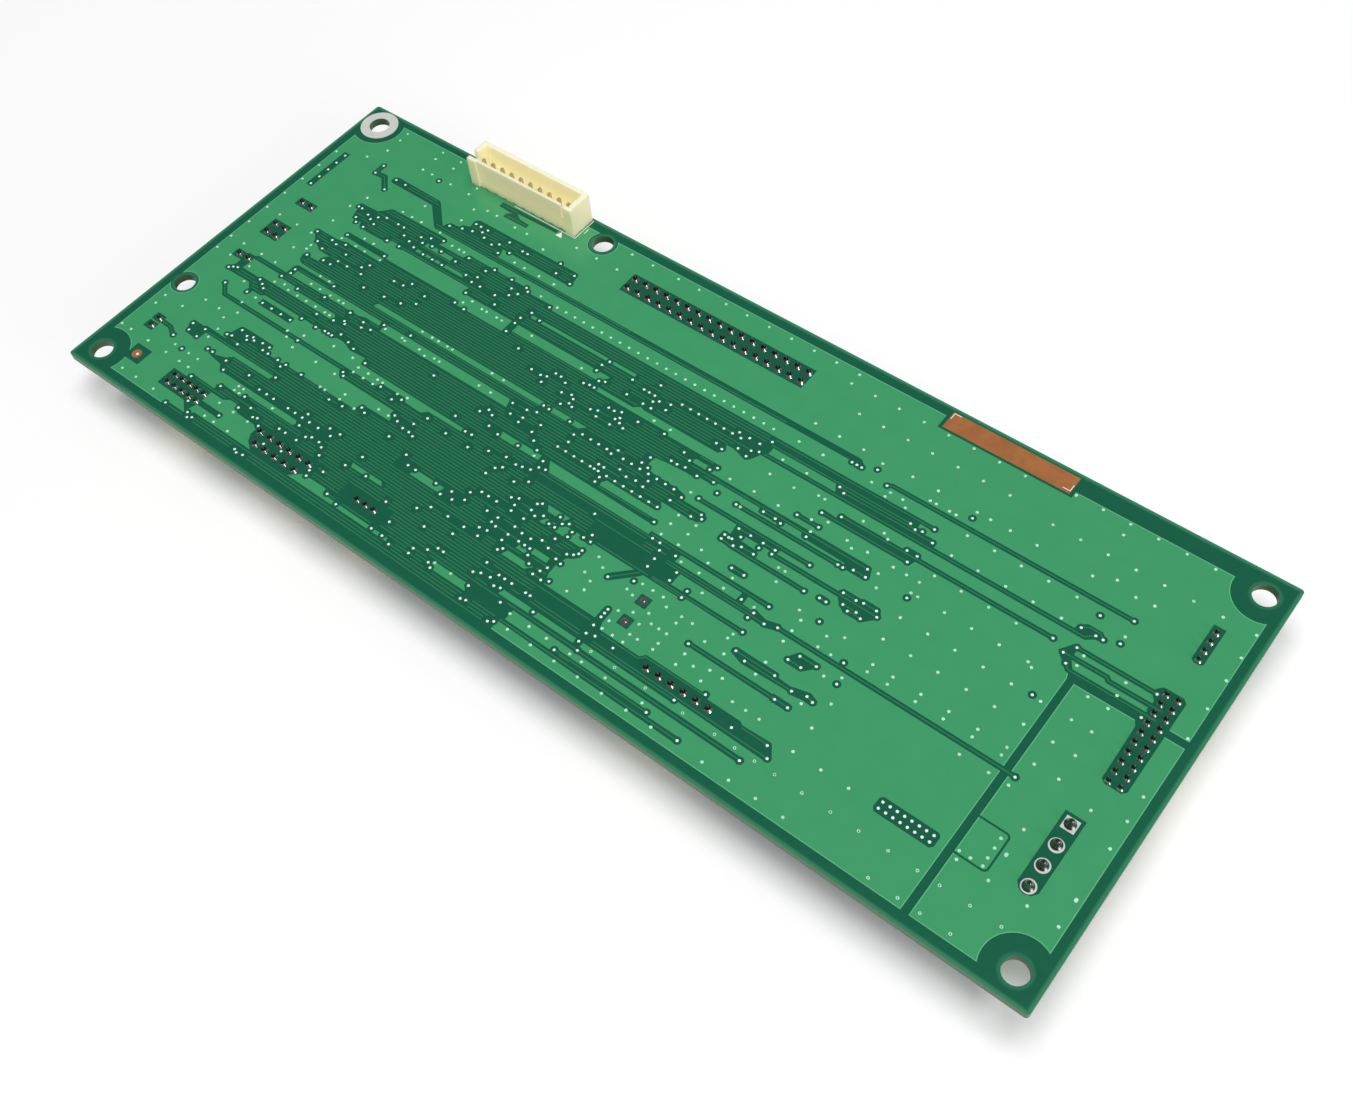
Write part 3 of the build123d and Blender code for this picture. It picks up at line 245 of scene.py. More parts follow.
LOWER_BUS = (
    (-43.0, -16.3), (5.7, -17.3), (5.7, -21.0), (5.0, -21.8), (3.9, -22.5), (3.3, -24.0), (3.4, -26.5),
    (4.2, -28.6), (15.3, -28.6), (15.3, -26.0), (16.0, -25.3), (16.8, -26.0), (16.9, -28.6),
    (17.4, -29.9), (25.8, -30.0), (26.6, -29.1), (38.0, -29.1), (38.7, -28.5), (39.4, -29.2),
    (39.4, -29.7), (46.0, -29.7), (46.6, -30.1), (51.6, -29.9), (52.4, -30.2), (53.8, -32.2),
    (53.2, -33.0), (36.0, -32.8), (35.4, -33.5), (16.9, -33.4), (16.8, -34.5), (49.5, -34.6),
    (50.6, -35.1), (49.7, -35.7), (3.4, -35.5), (3.4, -37.6), (13.2, -37.6), (13.2, -36.8), (33.0, -36.8),
    (33.8, -37.2), (33.7, -37.7), (40.0, -37.6), (40.8, -38.2), (40.0, -38.8), (2.7, -38.5), (2.7, -40.6),
    (-80.5, -40.6), (-80.4, -39.4), (-74.6, -39.4), (-73.4, -38.3), (-58.3, -38.2), (-60.0, -37.0),
    (-60.9, -35.6), (-60.9, -33.8), (-66.6, -33.7), (-68.0, -32.9), (-68.2, -32.3), (-70.0, -32.3),
    (-71.2, -33.1), (-81.2, -33.2), (-81.5, -32.6), (-80.8, -32.1), (-74.6, -32.2), (-75.0, -31.2),
    (-74.2, -30.5), (-69.2, -30.7), (-68.5, -29.7), (-56.1, -29.7), (-55.7, -29.1), (-56.2, -28.5),
    (-76.0, -28.5), (-76.7, -28.8), (-77.6, -28.2), (-78.3, -27.4), (-81.5, -27.0), (-82.7, -26.2),
    (-82.0, -25.4), (-80.9, -26.4), (-78.6, -25.7), (-77.5, -24.7), (-67.8, -24.6), (-67.6, -23.6),
    (-86.6, -23.6), (-86.7, -25.9), (-90.3, -25.7), (-91.3, -23.4), (-91.0, -22.6), (-88.4, -22.7),
    (-87.8, -22.3), (-82.2, -22.4), (-83.4, -21.5), (-82.6, -20.7), (-82.0, -18.6), (-81.4, -18.3),
    (-73.2, -18.3), (-72.8, -19.2), (-73.3, -20.4), (-68.6, -20.5), (-67.7, -19.5), (-66.9, -20.3),
    (-49.6, -20.4), (-49.0, -19.2), (-48.4, -18.7), (-42.0, -18.6), (-42.4, -17.5),
)
LEFT_BAND = (
    (-85.3, -1.3), (-84.6, -0.7), (-75.6, -0.7), (-75.0, 0.2), (-63.0, 0.2), (-63.0, -1.9), (-83.7, -1.9),
    (-83.7, -3.4), (-84.5, -3.9), (-85.3, -3.4),
)
SECOND_BAND = (
    (-94.0, -4.1), (-93.3, -3.5), (-75.0, -3.5), (-74.1, -3.0), (-73.2, -3.5), (-67.9, -3.5),
    (-67.0, -3.0), (-66.1, -3.4), (-62.0, -3.9), (-62.0, -8.0), (-69.0, -7.3), (-68.6, -6.4),
    (-69.2, -5.8), (-79.6, -5.8), (-80.2, -6.0), (-81.0, -5.2), (-84.6, -5.1), (-85.4, -5.5),
    (-86.2, -4.6), (-93.4, -4.6),
)
THIRD_BAND = (
    (-97.0, -9.1), (-96.1, -8.3), (-94.6, -7.4), (-93.5, -7.6), (-89.0, -7.6), (-88.6, -7.1),
    (-72.0, -7.2), (-62.0, -7.5), (-62.0, -9.9), (-64.5, -9.9), (-65.3, -10.6), (-68.2, -10.6),
    (-68.5, -10.2), (-84.2, -10.2), (-85.0, -10.75), (-87.2, -10.8), (-87.2, -11.6), (-88.0, -12.3),
    (-88.8, -11.6), (-88.4, -10.7), (-89.7, -9.5), (-96.3, -9.7),
)
RULED_FIELDS = (
    FAR_BAND, HEADER_LOOP, UPPER_BUS, MIDDLE_BUS, CENTRE_BUS, LOWER_BUS, LEFT_BAND, SECOND_BAND, THIRD_BAND,
)

# Fields cleared of the pour where no bundle runs
MOAT = (
    (82.55, -40.6), (83.95, -40.6), (83.95, 6.2), (103.2, 6.2), (103.2, 7.6), (82.2, 7.6), (82.6, 6.4),
)
BARE_FIELDS = (
    ((-100.6, 16.6), (-99.0, 16.6), (-99.0, 28.0), (-100.6, 28.0)),
    ((-83.4, 10.9), (-82.8, 11.6), (-71.6, 11.6), (-71.3, 10.2), (-82.8, 10.3)),
    ((-95.6, -8.0), (-93.6, -8.0), (-93.6, -4.0), (-95.6, -4.0)),
    ((-83.9, -12.6), (-74.9, -12.6), (-74.9, -11.1), (-83.9, -11.1)),
    ((-74.4, -36.7), (-68.4, -36.7), (-68.4, -35.5), (-74.4, -35.5)),
    ((-28.1, 30.5), (14.6, 30.5), (14.6, 35.4), (-28.1, 35.4)),
    ((95.1, 5.2), (94.5, 6.2), (95.0, 7.5), (95.3, 8.4), (95.1, 9.0), (95.3, 10.8), (94.4, 11.8),
     (94.5, 12.8), (95.4, 13.8), (98.8, 13.8), (99.5, 13.1), (99.5, -5.2), (98.8, -5.9), (96.0, -5.9),
     (95.3, -5.3)),
    ((96.3, 20.9), (96.9, 20.4), (97.9, 20.4), (98.4, 20.9), (98.4, 28.5), (96.3, 28.5)),
    ((93.6, -12.9), (97.1, -12.9), (97.1, -26.6), (96.4, -27.5), (95.3, -27.9), (94.3, -27.5),
     (93.6, -26.6)),
    ((-84.9, -33.2), (-74.4, -33.2), (-74.4, -36.4), (-75.2, -39.2), (-77.4, -37.4), (-84.9, -37.4)),
    ((-98.5, -25.4), (-96.0, -25.4), (-96.0, -27.2), (-98.5, -27.2)),
    ((-98.5, -27.5), (-96.0, -27.5), (-96.0, -29.4), (-98.5, -29.4)),
    ((-98.3, 11.1), (-93.5, 11.1), (-93.5, 13.2), (-98.3, 13.2)),
    ((-98.3, 1.2), (-93.5, 1.2), (-93.5, 5.8), (-98.3, 5.8)),
    ((-98.3, -6.3), (-93.5, -6.3), (-93.5, -4.3), (-98.3, -4.3)),
    ((18.7, -22.6), (21.0, -22.6), (21.0, -20.4), (18.7, -20.4)),
    ((18.7, -27.3), (21.0, -27.3), (21.0, -25.1), (18.7, -25.1)),
    ((-95.6, -36.8), (-91.5, -36.8), (-91.5, -33.0), (-95.6, -33.0)),
    ((70.5, -27.6), (71.0, -27.1), (80.7, -27.1), (81.2, -27.6), (81.2, -29.4), (80.7, -29.95),
     (71.0, -29.95), (70.5, -29.4)),
    ((39.2, 37.1), (65.8, 37.1), (65.8, 40.8), (39.2, 40.8)),
    MOAT,
    ((35.9, 11.4), (36.6, 12.15), (37.3, 12.0), (48.6, 12.0), (49.1, 12.8), (51.6, 12.8), (52.1, 12.0),
     (51.3, 10.2), (50.6, 9.5), (49.9, 9.7), (34.2, 9.7), (33.4, 9.5), (32.7, 10.2), (33.4, 10.9),
     (36.0, 10.7)),
    ((79.0, 15.1), (79.1, 16.0), (80.4, 17.0), (83.0, 17.0), (84.4, 15.8), (83.9, 15.2), (82.6, 15.1),
     (81.3, 14.1), (79.0, 14.1)),
    ((78.9, 10.2), (80.4, 12.5), (81.2, 12.9), (81.8, 12.4), (81.3, 11.6), (81.5, 9.8), (82.5, 8.3),
     (82.2, 7.4), (81.2, 7.9), (79.6, 9.5)),
    ((23.1, 0.1), (32.2, 0.1), (32.1, -1.2), (25.3, -1.35), (25.1, -2.4), (29.2, -2.6), (29.7, -3.3),
     (29.5, -4.7), (22.2, -4.6), (21.9, -4.0), (22.0, -2.4), (23.4, -2.3), (23.2, -1.0)),
    ((44.6, -0.9), (45.4, -0.2), (48.4, -0.2), (49.1, 0.1), (52.1, 0.1), (53.2, -1.5), (50.9, -4.0),
     (47.6, -4.1), (46.2, -3.2), (45.2, -2.1)),
    ((44.8, -16.4), (46.1, -14.4), (46.6, -14.1), (49.9, -14.1), (50.5, -14.8), (48.6, -16.8),
     (48.0, -17.1), (45.3, -17.1)),
    ((37.0, -20.0), (37.6, -19.3), (45.6, -19.3), (46.3, -20.0), (48.6, -20.1), (52.0, -19.2),
     (53.6, -19.8), (53.8, -20.4), (53.2, -21.1), (51.6, -21.0), (49.4, -21.4), (48.6, -21.1),
     (39.8, -21.4), (37.2, -20.6)),
    ((47.3, -22.7), (50.5, -22.7), (51.2, -23.4), (50.5, -24.1), (47.3, -24.1)),
)

# Pieces of pour left standing inside the cleared fields
ISLANDS = (
    ((-67.4, 17.4), (-67.4, 18.4), (-60.4, 18.4), (-60.4, 17.4)),
    ((-68.0, 15.4), (-68.0, 16.1), (-55.4, 16.1), (-55.4, 15.4)),
    ((-37.3, 15.2), (-37.3, 15.9), (-11.8, 15.9), (-11.8, 15.2)),
    ((-38.0, 10.6), (-38.0, 12.5), (-15.4, 12.5), (-16.4, 10.6)),
    ((18.6, 15.05), (18.6, 16.6), (31.9, 16.6), (32.8, 15.05)),
    ((-64.4, 0.05), (-64.0, 1.1), (-11.4, 1.1), (-12.6, 0.0)),
    ((-66.6, -1.95), (-60.3, -1.95), (-60.0, -3.0), (-63.8, -3.0), (-65.2, -3.5), (-66.6, -3.4)),
    ((-59.2, -2.0), (-27.2, -2.0), (-26.5, -3.85), (-58.9, -3.9)),
    ((-23.2, -8.4), (-13.9, -8.4), (-13.8, -9.6), (-23.0, -9.7)),
    ((-5.9, -15.8), (-0.9, -15.8), (-1.5, -16.9), (-5.0, -17.0)),
    ((19.3, -10.65), (32.1, -10.65), (32.0, -12.3), (19.2, -12.25)),
    ((-5.0, -19.4), (-4.2, -18.2), (-1.0, -18.0), (-0.2, -17.4), (2.7, -17.4), (2.9, -18.1), (5.7, -18.1),
     (5.7, -19.2), (4.2, -19.4)),
    ((-4.3, -24.1), (1.6, -24.1), (1.7, -25.2), (-1.2, -25.2), (-2.5, -25.9), (-4.6, -25.9)),
    ((-5.3, -27.1), (0.5, -27.1), (-0.6, -28.3), (-5.8, -28.3)),
    ((-0.6, -33.4), (15.3, -33.4), (15.5, -34.4), (-0.9, -34.5)),
    ((-14.2, -36.1), (-6.8, -36.1), (-5.8, -37.5), (-14.2, -37.6)),
    ((-48.5, -38.2), (-46.2, -36.3), (-40.5, -36.2), (-40.3, -37.3), (-24.0, -37.4), (-23.8, -38.1)),
    ((-40.7, -29.3), (-33.4, -29.3), (-32.7, -30.1), (-40.2, -30.2)),
    ((-29.9, -23.8), (-23.3, -23.8), (-23.7, -25.2), (-30.6, -25.2)),
)

# Parts of the ruled fields that stay empty: left, right, near, far
EMPTY_BOXES = (
    (3.6, 21.5, -16.7, -13.7), (4.0, 15.0, -31.5, -29.9), (-5.5, 3.0, -37.6, -35.7),
    (-18.0, 12.0, -12.9, -12.0), (-34.0, -19.0, -24.9, -23.6), (-37.5, -27.5, -36.2, -33.4),
    (-61.2, -45.5, -38.2, -33.4),
)

# Single traces in a slot of their own: half width of the slot, then the points
SLOTS = (
    (SLOT_HALF, ((39.2, 21.3), (40.0, 21.75), (85.95, 21.7))),
    (SLOT_HALF, ((52.0, 14.6), (81.0, 14.6), (82.4, 15.8))),
    (SLOT_HALF, ((51.5, 11.5), (77.2, 11.5))),
    (SLOT_HALF, ((30.25, 7.4), (34.7, 7.4))),
    (SLOT_HALF, ((21.4, 3.1), (41.6, 3.1))),
    (SLOT_HALF, ((14.5, 0.3), (37.9, 0.3))),
    (SLOT_HALF, ((31.5, -1.6), (52.5, -1.6))),
    (SLOT_HALF, ((22.7, -4.0), (25.2, -4.3), (40.06, -4.35))),
    (VIA_CLEARANCE, ((42.9, -4.0), (44.2, -4.0))),
    (VIA_CLEARANCE, ((27.7, -7.7), (30.25, -7.7))),
    (SLOT_HALF, ((40.7, -12.65), (84.9, -12.75))),
    (SLOT_HALF, ((30.8, -23.4), (50.5, -23.4))),
    (SLOT_HALF, ((16.4, -35.1), (49.9, -35.15))),
    (SLOT_HALF, ((81.1, 12.17), (95.1, 12.1))),
    (SLOT_HALF, ((79.8, 10.25), (87.5, 10.25), (88.0, 9.75), (97.2, 9.75))),
    (SLOT_HALF, ((81.1, 8.7), (82.0, 7.85), (97.2, 7.85))),
    (VIA_CLEARANCE, ((11.95, -21.2), (15.8, -17.4))),
    (WIDE_SLOT_HALF, ((-90.7, 29.6), (-90.7, 27.1), (-88.2, 27.3), (-85.6, 24.6))),
    (SLOT_HALF, ((-93.5, -12.4), (-91.2, -14.6), (-58.0, -14.6))),
    (SLOT_HALF, ((-96.0, -26.5), (-93.5, -26.6), (-91.5, -27.8))),
)
LOOP = ((83.9, -21.3), (88.9, -21.3), (89.35, -21.75), (89.35, -27.85), (88.9, -28.3), (83.9, -28.3))

# Traces of the right-hand fields, each from via to via
LONE_TRACES = (
    ((18.0, 18.3), (50.7, 18.3)), ((18.0, 17.0), (46.8, 17.0)), ((32.8, 16.4), (48.1, 16.4)),
    ((34.1, 15.7), (51.9, 15.8)), ((18.0, 14.6), (52.0, 14.6)), ((36.6, 11.4), (51.5, 11.5)),
    ((33.4, 10.2), (50.6, 10.2)), ((10.0, 5.3), (46.1, 5.2)), ((25.2, 4.6), (27.7, 4.6)),
    ((44.3, 3.7), (46.7, 3.7)), ((23.9, -0.64), (26.4, -0.64)), ((29.0, -0.64), (31.5, -0.64)),
    ((22.7, -3.0), (24.2, -3.0)), ((26.5, -3.4), (29.0, -3.4)), ((45.5, -0.9), (48.0, -0.9)),
    ((49.3, -0.64), (51.8, -0.64)), ((46.7, -2.8), (49.3, -2.8)), ((48.0, -3.4), (50.5, -3.4)),
    ((12.5, -10.15), (37.2, -10.2)), ((18.0, -12.8), (35.9, -12.7)), ((18.0, -13.3), (38.5, -13.3)),
    ((18.0, -17.1), (24.5, -17.2)), ((18.0, -16.8), (36.6, -16.6)), ((46.7, -14.8), (49.9, -14.8)),
    ((45.5, -16.4), (48.0, -16.4)), ((37.8, -20.0), (45.5, -20.0)), ((40.06, -20.7), (49.3, -20.7)),
    ((51.8, -20.05), (53.1, -20.4)), ((26.6, -29.5), (38.7, -29.4)), ((18.0, -30.4), (25.9, -30.4)),
    ((25.9, -30.4), (26.7, -29.6)), ((46.8, -30.5), (51.8, -30.5)), ((18.0, -32.3), (53.1, -32.4)),
    ((18.0, -32.9), (35.3, -32.9)), ((13.85, -37.2), (33.1, -37.2)), ((3.0, -38.15), (40.06, -38.2)),
    ((79.8, 15.8), (80.9, 16.6)), ((80.9, 16.6), (82.9, 16.6)), ((82.9, 16.6), (83.7, 15.8)),
)

# Vias on the pour, as rows of one height: far place, then places along the board
PALE_ROWS = (
    (39.1, (-31.8, -26.6, -20.3, -15.3, -8.9, -3.9, 1.2, 6.3, 11.4, 16.4, 21.4)),
    (39.5, (-93.3, -83.0, -77.9)), (37.2, (-93.3, -83.0, -77.9)), (34.3, (-42.0, -36.9, -31.7)),
    (38.0, (66.2, 71.3, 76.4, 81.5, 86.65, 91.7)),
    (36.6, (21.4, 26.5, 31.6, 36.8, 41.9, 47.0, 52.1, 57.2)), (33.4, (-93.3, -83.0, -80.4, -75.2, -70.1)),
    (32.0, (-63.6, -61.1)), (31.6, (-55.9, -52.7, 26.5, 31.6, 36.7, 41.75, 46.9, 52.0, 57.2)),
    (30.5, (66.1, 71.3, 76.4, 81.5, 86.6, 91.7, 96.8, 102.5)),
    (25.4, (21.4, 26.5, 31.6, 41.75, 46.9, 54.6, 57.2, 61.0, 66.1, 76.4, 102.45)),
    (24.3, (-49.5, -46.9, -43.1, -39.3)), (22.9, (46.9, 48.1, 50.7, 52.0)),
    (22.0, (-77.8, -75.2, -72.6, -67.4)), (20.7, (-62.9, -61.0, -59.7)),
    (20.4, (21.4, 26.5, 36.65, 40.5, 43.0, 55.8, 61.0, 66.1, 71.2, 76.4, 102.45)), (19.2, (40.2, 44.3)),
    (15.5, (21.4, 26.5, 55.8, 60.9, 66.1, 71.2, 76.4)), (12.8, (30.9, 32.2, 40.1, 44.3)),
    (12.1, (-88.0, -78.9, -76.4, 45.5)), (11.7, (21.4, 26.5)), (11.5, (-46.5, -45.3, -42.7, -41.4)),
    (10.5, (55.7, 60.8, 66.0, 71.1)), (9.55, (-82.9, -78.9, -76.4, -72.1)),
    (8.0, (32.8, 40.1, 44.2, 49.3, 51.9, 54.4)), (7.1, (-98.4, -93.35, -89.2, 21.4, 26.5, 41.6)),
    (5.5, (48.0, 54.4, 55.7, 60.8, 65.9, 71.0, 76.25, 86.8, 90.3)),
    (0.7, (-52.0, -49.4, -47.8, -45.5, -44.2, -34.1, -31.2)),
    (0.55, (55.6, 60.8, 65.9, 71.1, 76.2, 81.4, 86.8, 90.3)),
    (-2.84, (-98.4, -93.2, -89.2, -78.9, -76.4, -73.5, -71.2, -69.9)),
    (-2.9, (-58.4, -53.2, -49.4, -45.5, -44.2, -34.1, -31.2)), (-3.1, (34.0, 35.3)),
    (-4.4, (13.85, 17.6, 55.6, 60.8, 65.9, 71.1, 76.2, 81.35, 86.45, 90.3, 101.7)),
    (-6.6, (-98.4, -92.8, -85.4, -81.5, -78.9, -76.4, -73.8, -71.2, -69.9, 13.85, 17.6)),
    (-7.8, (21.4, 41.6, 50.5)),
    (-9.25, (-15.0, 13.85, 17.6, 23.9, 29.0, 42.9, 48.0, 56.9, 60.7, 65.9, 71.0, 76.2, 81.35, 86.1, 90.3,
        101.7)),
    (-10.85, (56.9, 60.7, 65.9, 71.0, 76.2, 81.35, 96.6)),
    (-11.7, (-85.4, -63.5, -58.4, 20.1, 23.9, 29.0, 35.3, 42.9, 48.0, 50.5)),
    (-12.8, (-55.8, -53.2, -50.7, -49.4, -43.0)),
    (-14.1, (-86.7, -73.8, -55.8, -53.2, -50.7, 42.9, 54.3)), (-14.5, (26.7, 76.2, 81.35, 84.8, 101.8)),
    (-16.5, (-85.4, -69.9, -63.5, -58.4)), (-17.8, (-93.2, -89.3, -45.5, -43.0, 35.6)),
    (-18.9, (-86.7, -53.2, 17.6, 19.8, 22.0, 35.3, 42.9, 55.6)), (-20.1, (23.6, 26.8, 29.0)),
    (-20.3, (-58.4, -57.1, -53.2, -49.4)),
    (-21.6, (-100.9, -95.8, -85.4, 17.6, 26.8, 32.7, 36.6, 42.9, 51.8)), (-22.75, (22.0,)),
    (-24.1, (-100.9, -85.4, 19.8, 23.6, 25.2, 26.8, 55.6, 90.3, 101.8)),
    (-25.3, (17.6, 22.0, 31.5, 36.6, 39.1)), (-26.3, (26.8, 34.0)),
    (-27.7, (17.6, 22.0, 23.6, 26.8, 31.5, 36.6, 42.9, 45.5, 48.1)),
    (-29.1, (-89.3, -85.4, -82.8, -71.2, -69.9, -62.0, 55.6, 60.8, 65.9, 84.9, 90.3, 96.7, 101.8)),
    (-29.5, (17.6, 19.8, 22.0)), (-30.25, (-71.2, -69.9)),
    (-31.5, (-102.25, -99.6, -94.5, -89.3, -85.4, -82.8)), (-34.0, (-71.2, -67.4, -63.5)),
    (-36.3, (3.4, 7.6, 11.4, 16.4, 18.9, 23.9, 31.5, -13.8, -10.1)), (-37.7, (-71.2, -68.7, -64.9)),
    (-39.0, (-93.2, -89.3, -84.25)),
    (-38.8, (5.05, 10.1, 15.2, 20.15, 25.2, 30.25, 35.3, 45.4, 50.5, 55.6, 60.7)),
)
PALE_SINGLES = (
    (-95.6, 29.6), (-69.8, 35.6), (-66.2, 30.7), (-66.2, 27.0), (-75.2, 25.8), (-86.8, 20.8),
    (-88.1, 17.1), (-86.7, 4.6), (-86.7, 3.4), (-89.2, 2.2), (-39.3, 20.5), (-47.2, 30.2), (-49.4, 11.95),
    (-50.7, 10.7), (-34.1, 11.9), (-21.2, 11.2), (36.0, 24.8), (80.0, 27.0), (84.0, 25.8), (87.2, 26.1),
    (76.5, 35.4), (86.2, 18.3), (35.4, 9.2), (34.1, 5.9), (77.2, 4.9), (49.3, 3.0), (82.7, 11.5),
    (90.3, 11.1), (82.7, 9.35), (90.3, 8.3), (102.4, 14.3), (102.4, 8.0), (-78.9, -0.3), (-76.4, -0.3),
    (-83.2, -5.95), (-90.6, -10.0), (-70.2, -13.15), (-72.8, -15.3), (-45.2, -13.15), (-54.1, -2.7),
    (-47.5, -3.5), (35.3, -5.6), (90.3, -19.3), (51.8, -15.5), (23.6, -3.1), (90.3, -24.3),
    (101.8, -24.3), (21.4, 3.1), (-2.5, 9.3), (1.2, 9.3), (16.4, 6.8), (12.6, 0.6), (8.2, -19.0),
    (10.1, -20.3), (16.1, -21.2), (8.2, -22.75), (10.1, -23.6), (10.4, -25.5), (8.2, -27.4),
    (88.35, -22.45), (88.4, -24.3), (88.4, -26.2), (88.5, -27.7), (86.4, -27.7), (84.5, -27.7),
)

# Vias in one column, as its place and the far places, and in one even row: far place, first, last, count
EDGE_COLUMN = (-102.25, (27.1, 22.05, 17.2, 12.1, 7.15, 2.1, -2.84, -6.6))
EVEN_ROW = (20.1, -34.8, 16.1, 24)

# Open vias of the near edge, which keep a dark dot
OPEN_ROWS = (
    (-33.9, (18.9, 23.9, 30.25, 37.8, 44.1, 48.0, 51.8, 55.6, 60.7, 65.9, 71.0, 76.2, 81.3, 85.1, 90.2,
        95.4)),
    (-39.1, (76.2, 81.3, 85.1, 90.2)),
)

# Vias in the cleared fields and in rings of their own
BRIGHT_ROWS = (
    (9.0, (-17.4, -16.3)), (27.9, (-63.0, -61.7, -59.8, -54.0)), (27.5, (-50.2, -48.9)),
    (18.9, (-79.3, -76.1, -74.5, -69.7)), (15.65, (-66.1, -63.6, -61.0, -53.0, -50.8, -46.9, -35.4)),
    (18.3, (-66.1, -63.6)), (10.9, (-82.6, -72.2)), (16.0, (11.6, 13.85, 16.05)),
    (15.1, (-0.63, 1.25, 3.14, 5.02, 6.9, 8.8, 10.7, 12.56)), (13.9, (-8.5, -7.3, -6.0, -2.3, 15.7)),
    (11.2, (-15.5, -10.4, -6.6, -4.75, 11.3)), (4.0, (5.6, 6.9, 11.3, -11.7)),
    (-0.57, (-11.04, -9.1, -7.25, -5.35, -1.6, 0.3, 2.2, 4.1, 6.0, 7.9, 9.8)),
    (-5.2, (-12.9, -11.04, -9.1, -7.25, -5.35, -4.4, -3.5, -1.6, 0.3, 2.2, 4.1, 6.0, 7.9, 9.8)),
    (-11.9, (-83.2, -80.6, -78.0, -75.4)),
    (-27.4, (-67.4, -65.4, -63.5, -59.6, -57.7, -55.8, -53.9, -51.6, -48.4)),
    (-20.55, (-17.3, -15.7, -13.8, -10.4, -7.5, -0.3, 5.0)), (-23.0, (-13.8, -11.3, -5.7, -3.7)),
    (-31.7, (-57.4, -55.8, -52.9, -46.9, -3.2, -1.9, -0.3, 2.8, 3.8)),
    (-0.64, (23.9, 26.4, 29.0, 31.5, 49.3, 51.8)),
    (-27.9, (71.3, 72.59, 73.87, 75.16, 76.44, 77.73, 79.01, 80.3)),
    (-29.14, (71.3, 72.59, 73.87, 75.16, 76.44, 77.73, 79.01, 80.3)), (22.0, (31.5, 32.5, 33.5)),
    (4.6, (25.2, 27.7, 34.1)), (3.1, (20.5, 41.6, 42.6, 16.4)), (-24.6, (-10.4, -7.5, -5.05, -3.7, -2.5)),
    (-4.0, (22.7, 25.2, 42.9, 44.2, -4.4, -3.2)), (-3.4, (26.5, 29.0, 48.0, 50.5)),
    (-7.7, (27.7, 30.25, 45.5)), (-23.45, (30.8, 48.0, 50.5)),
)
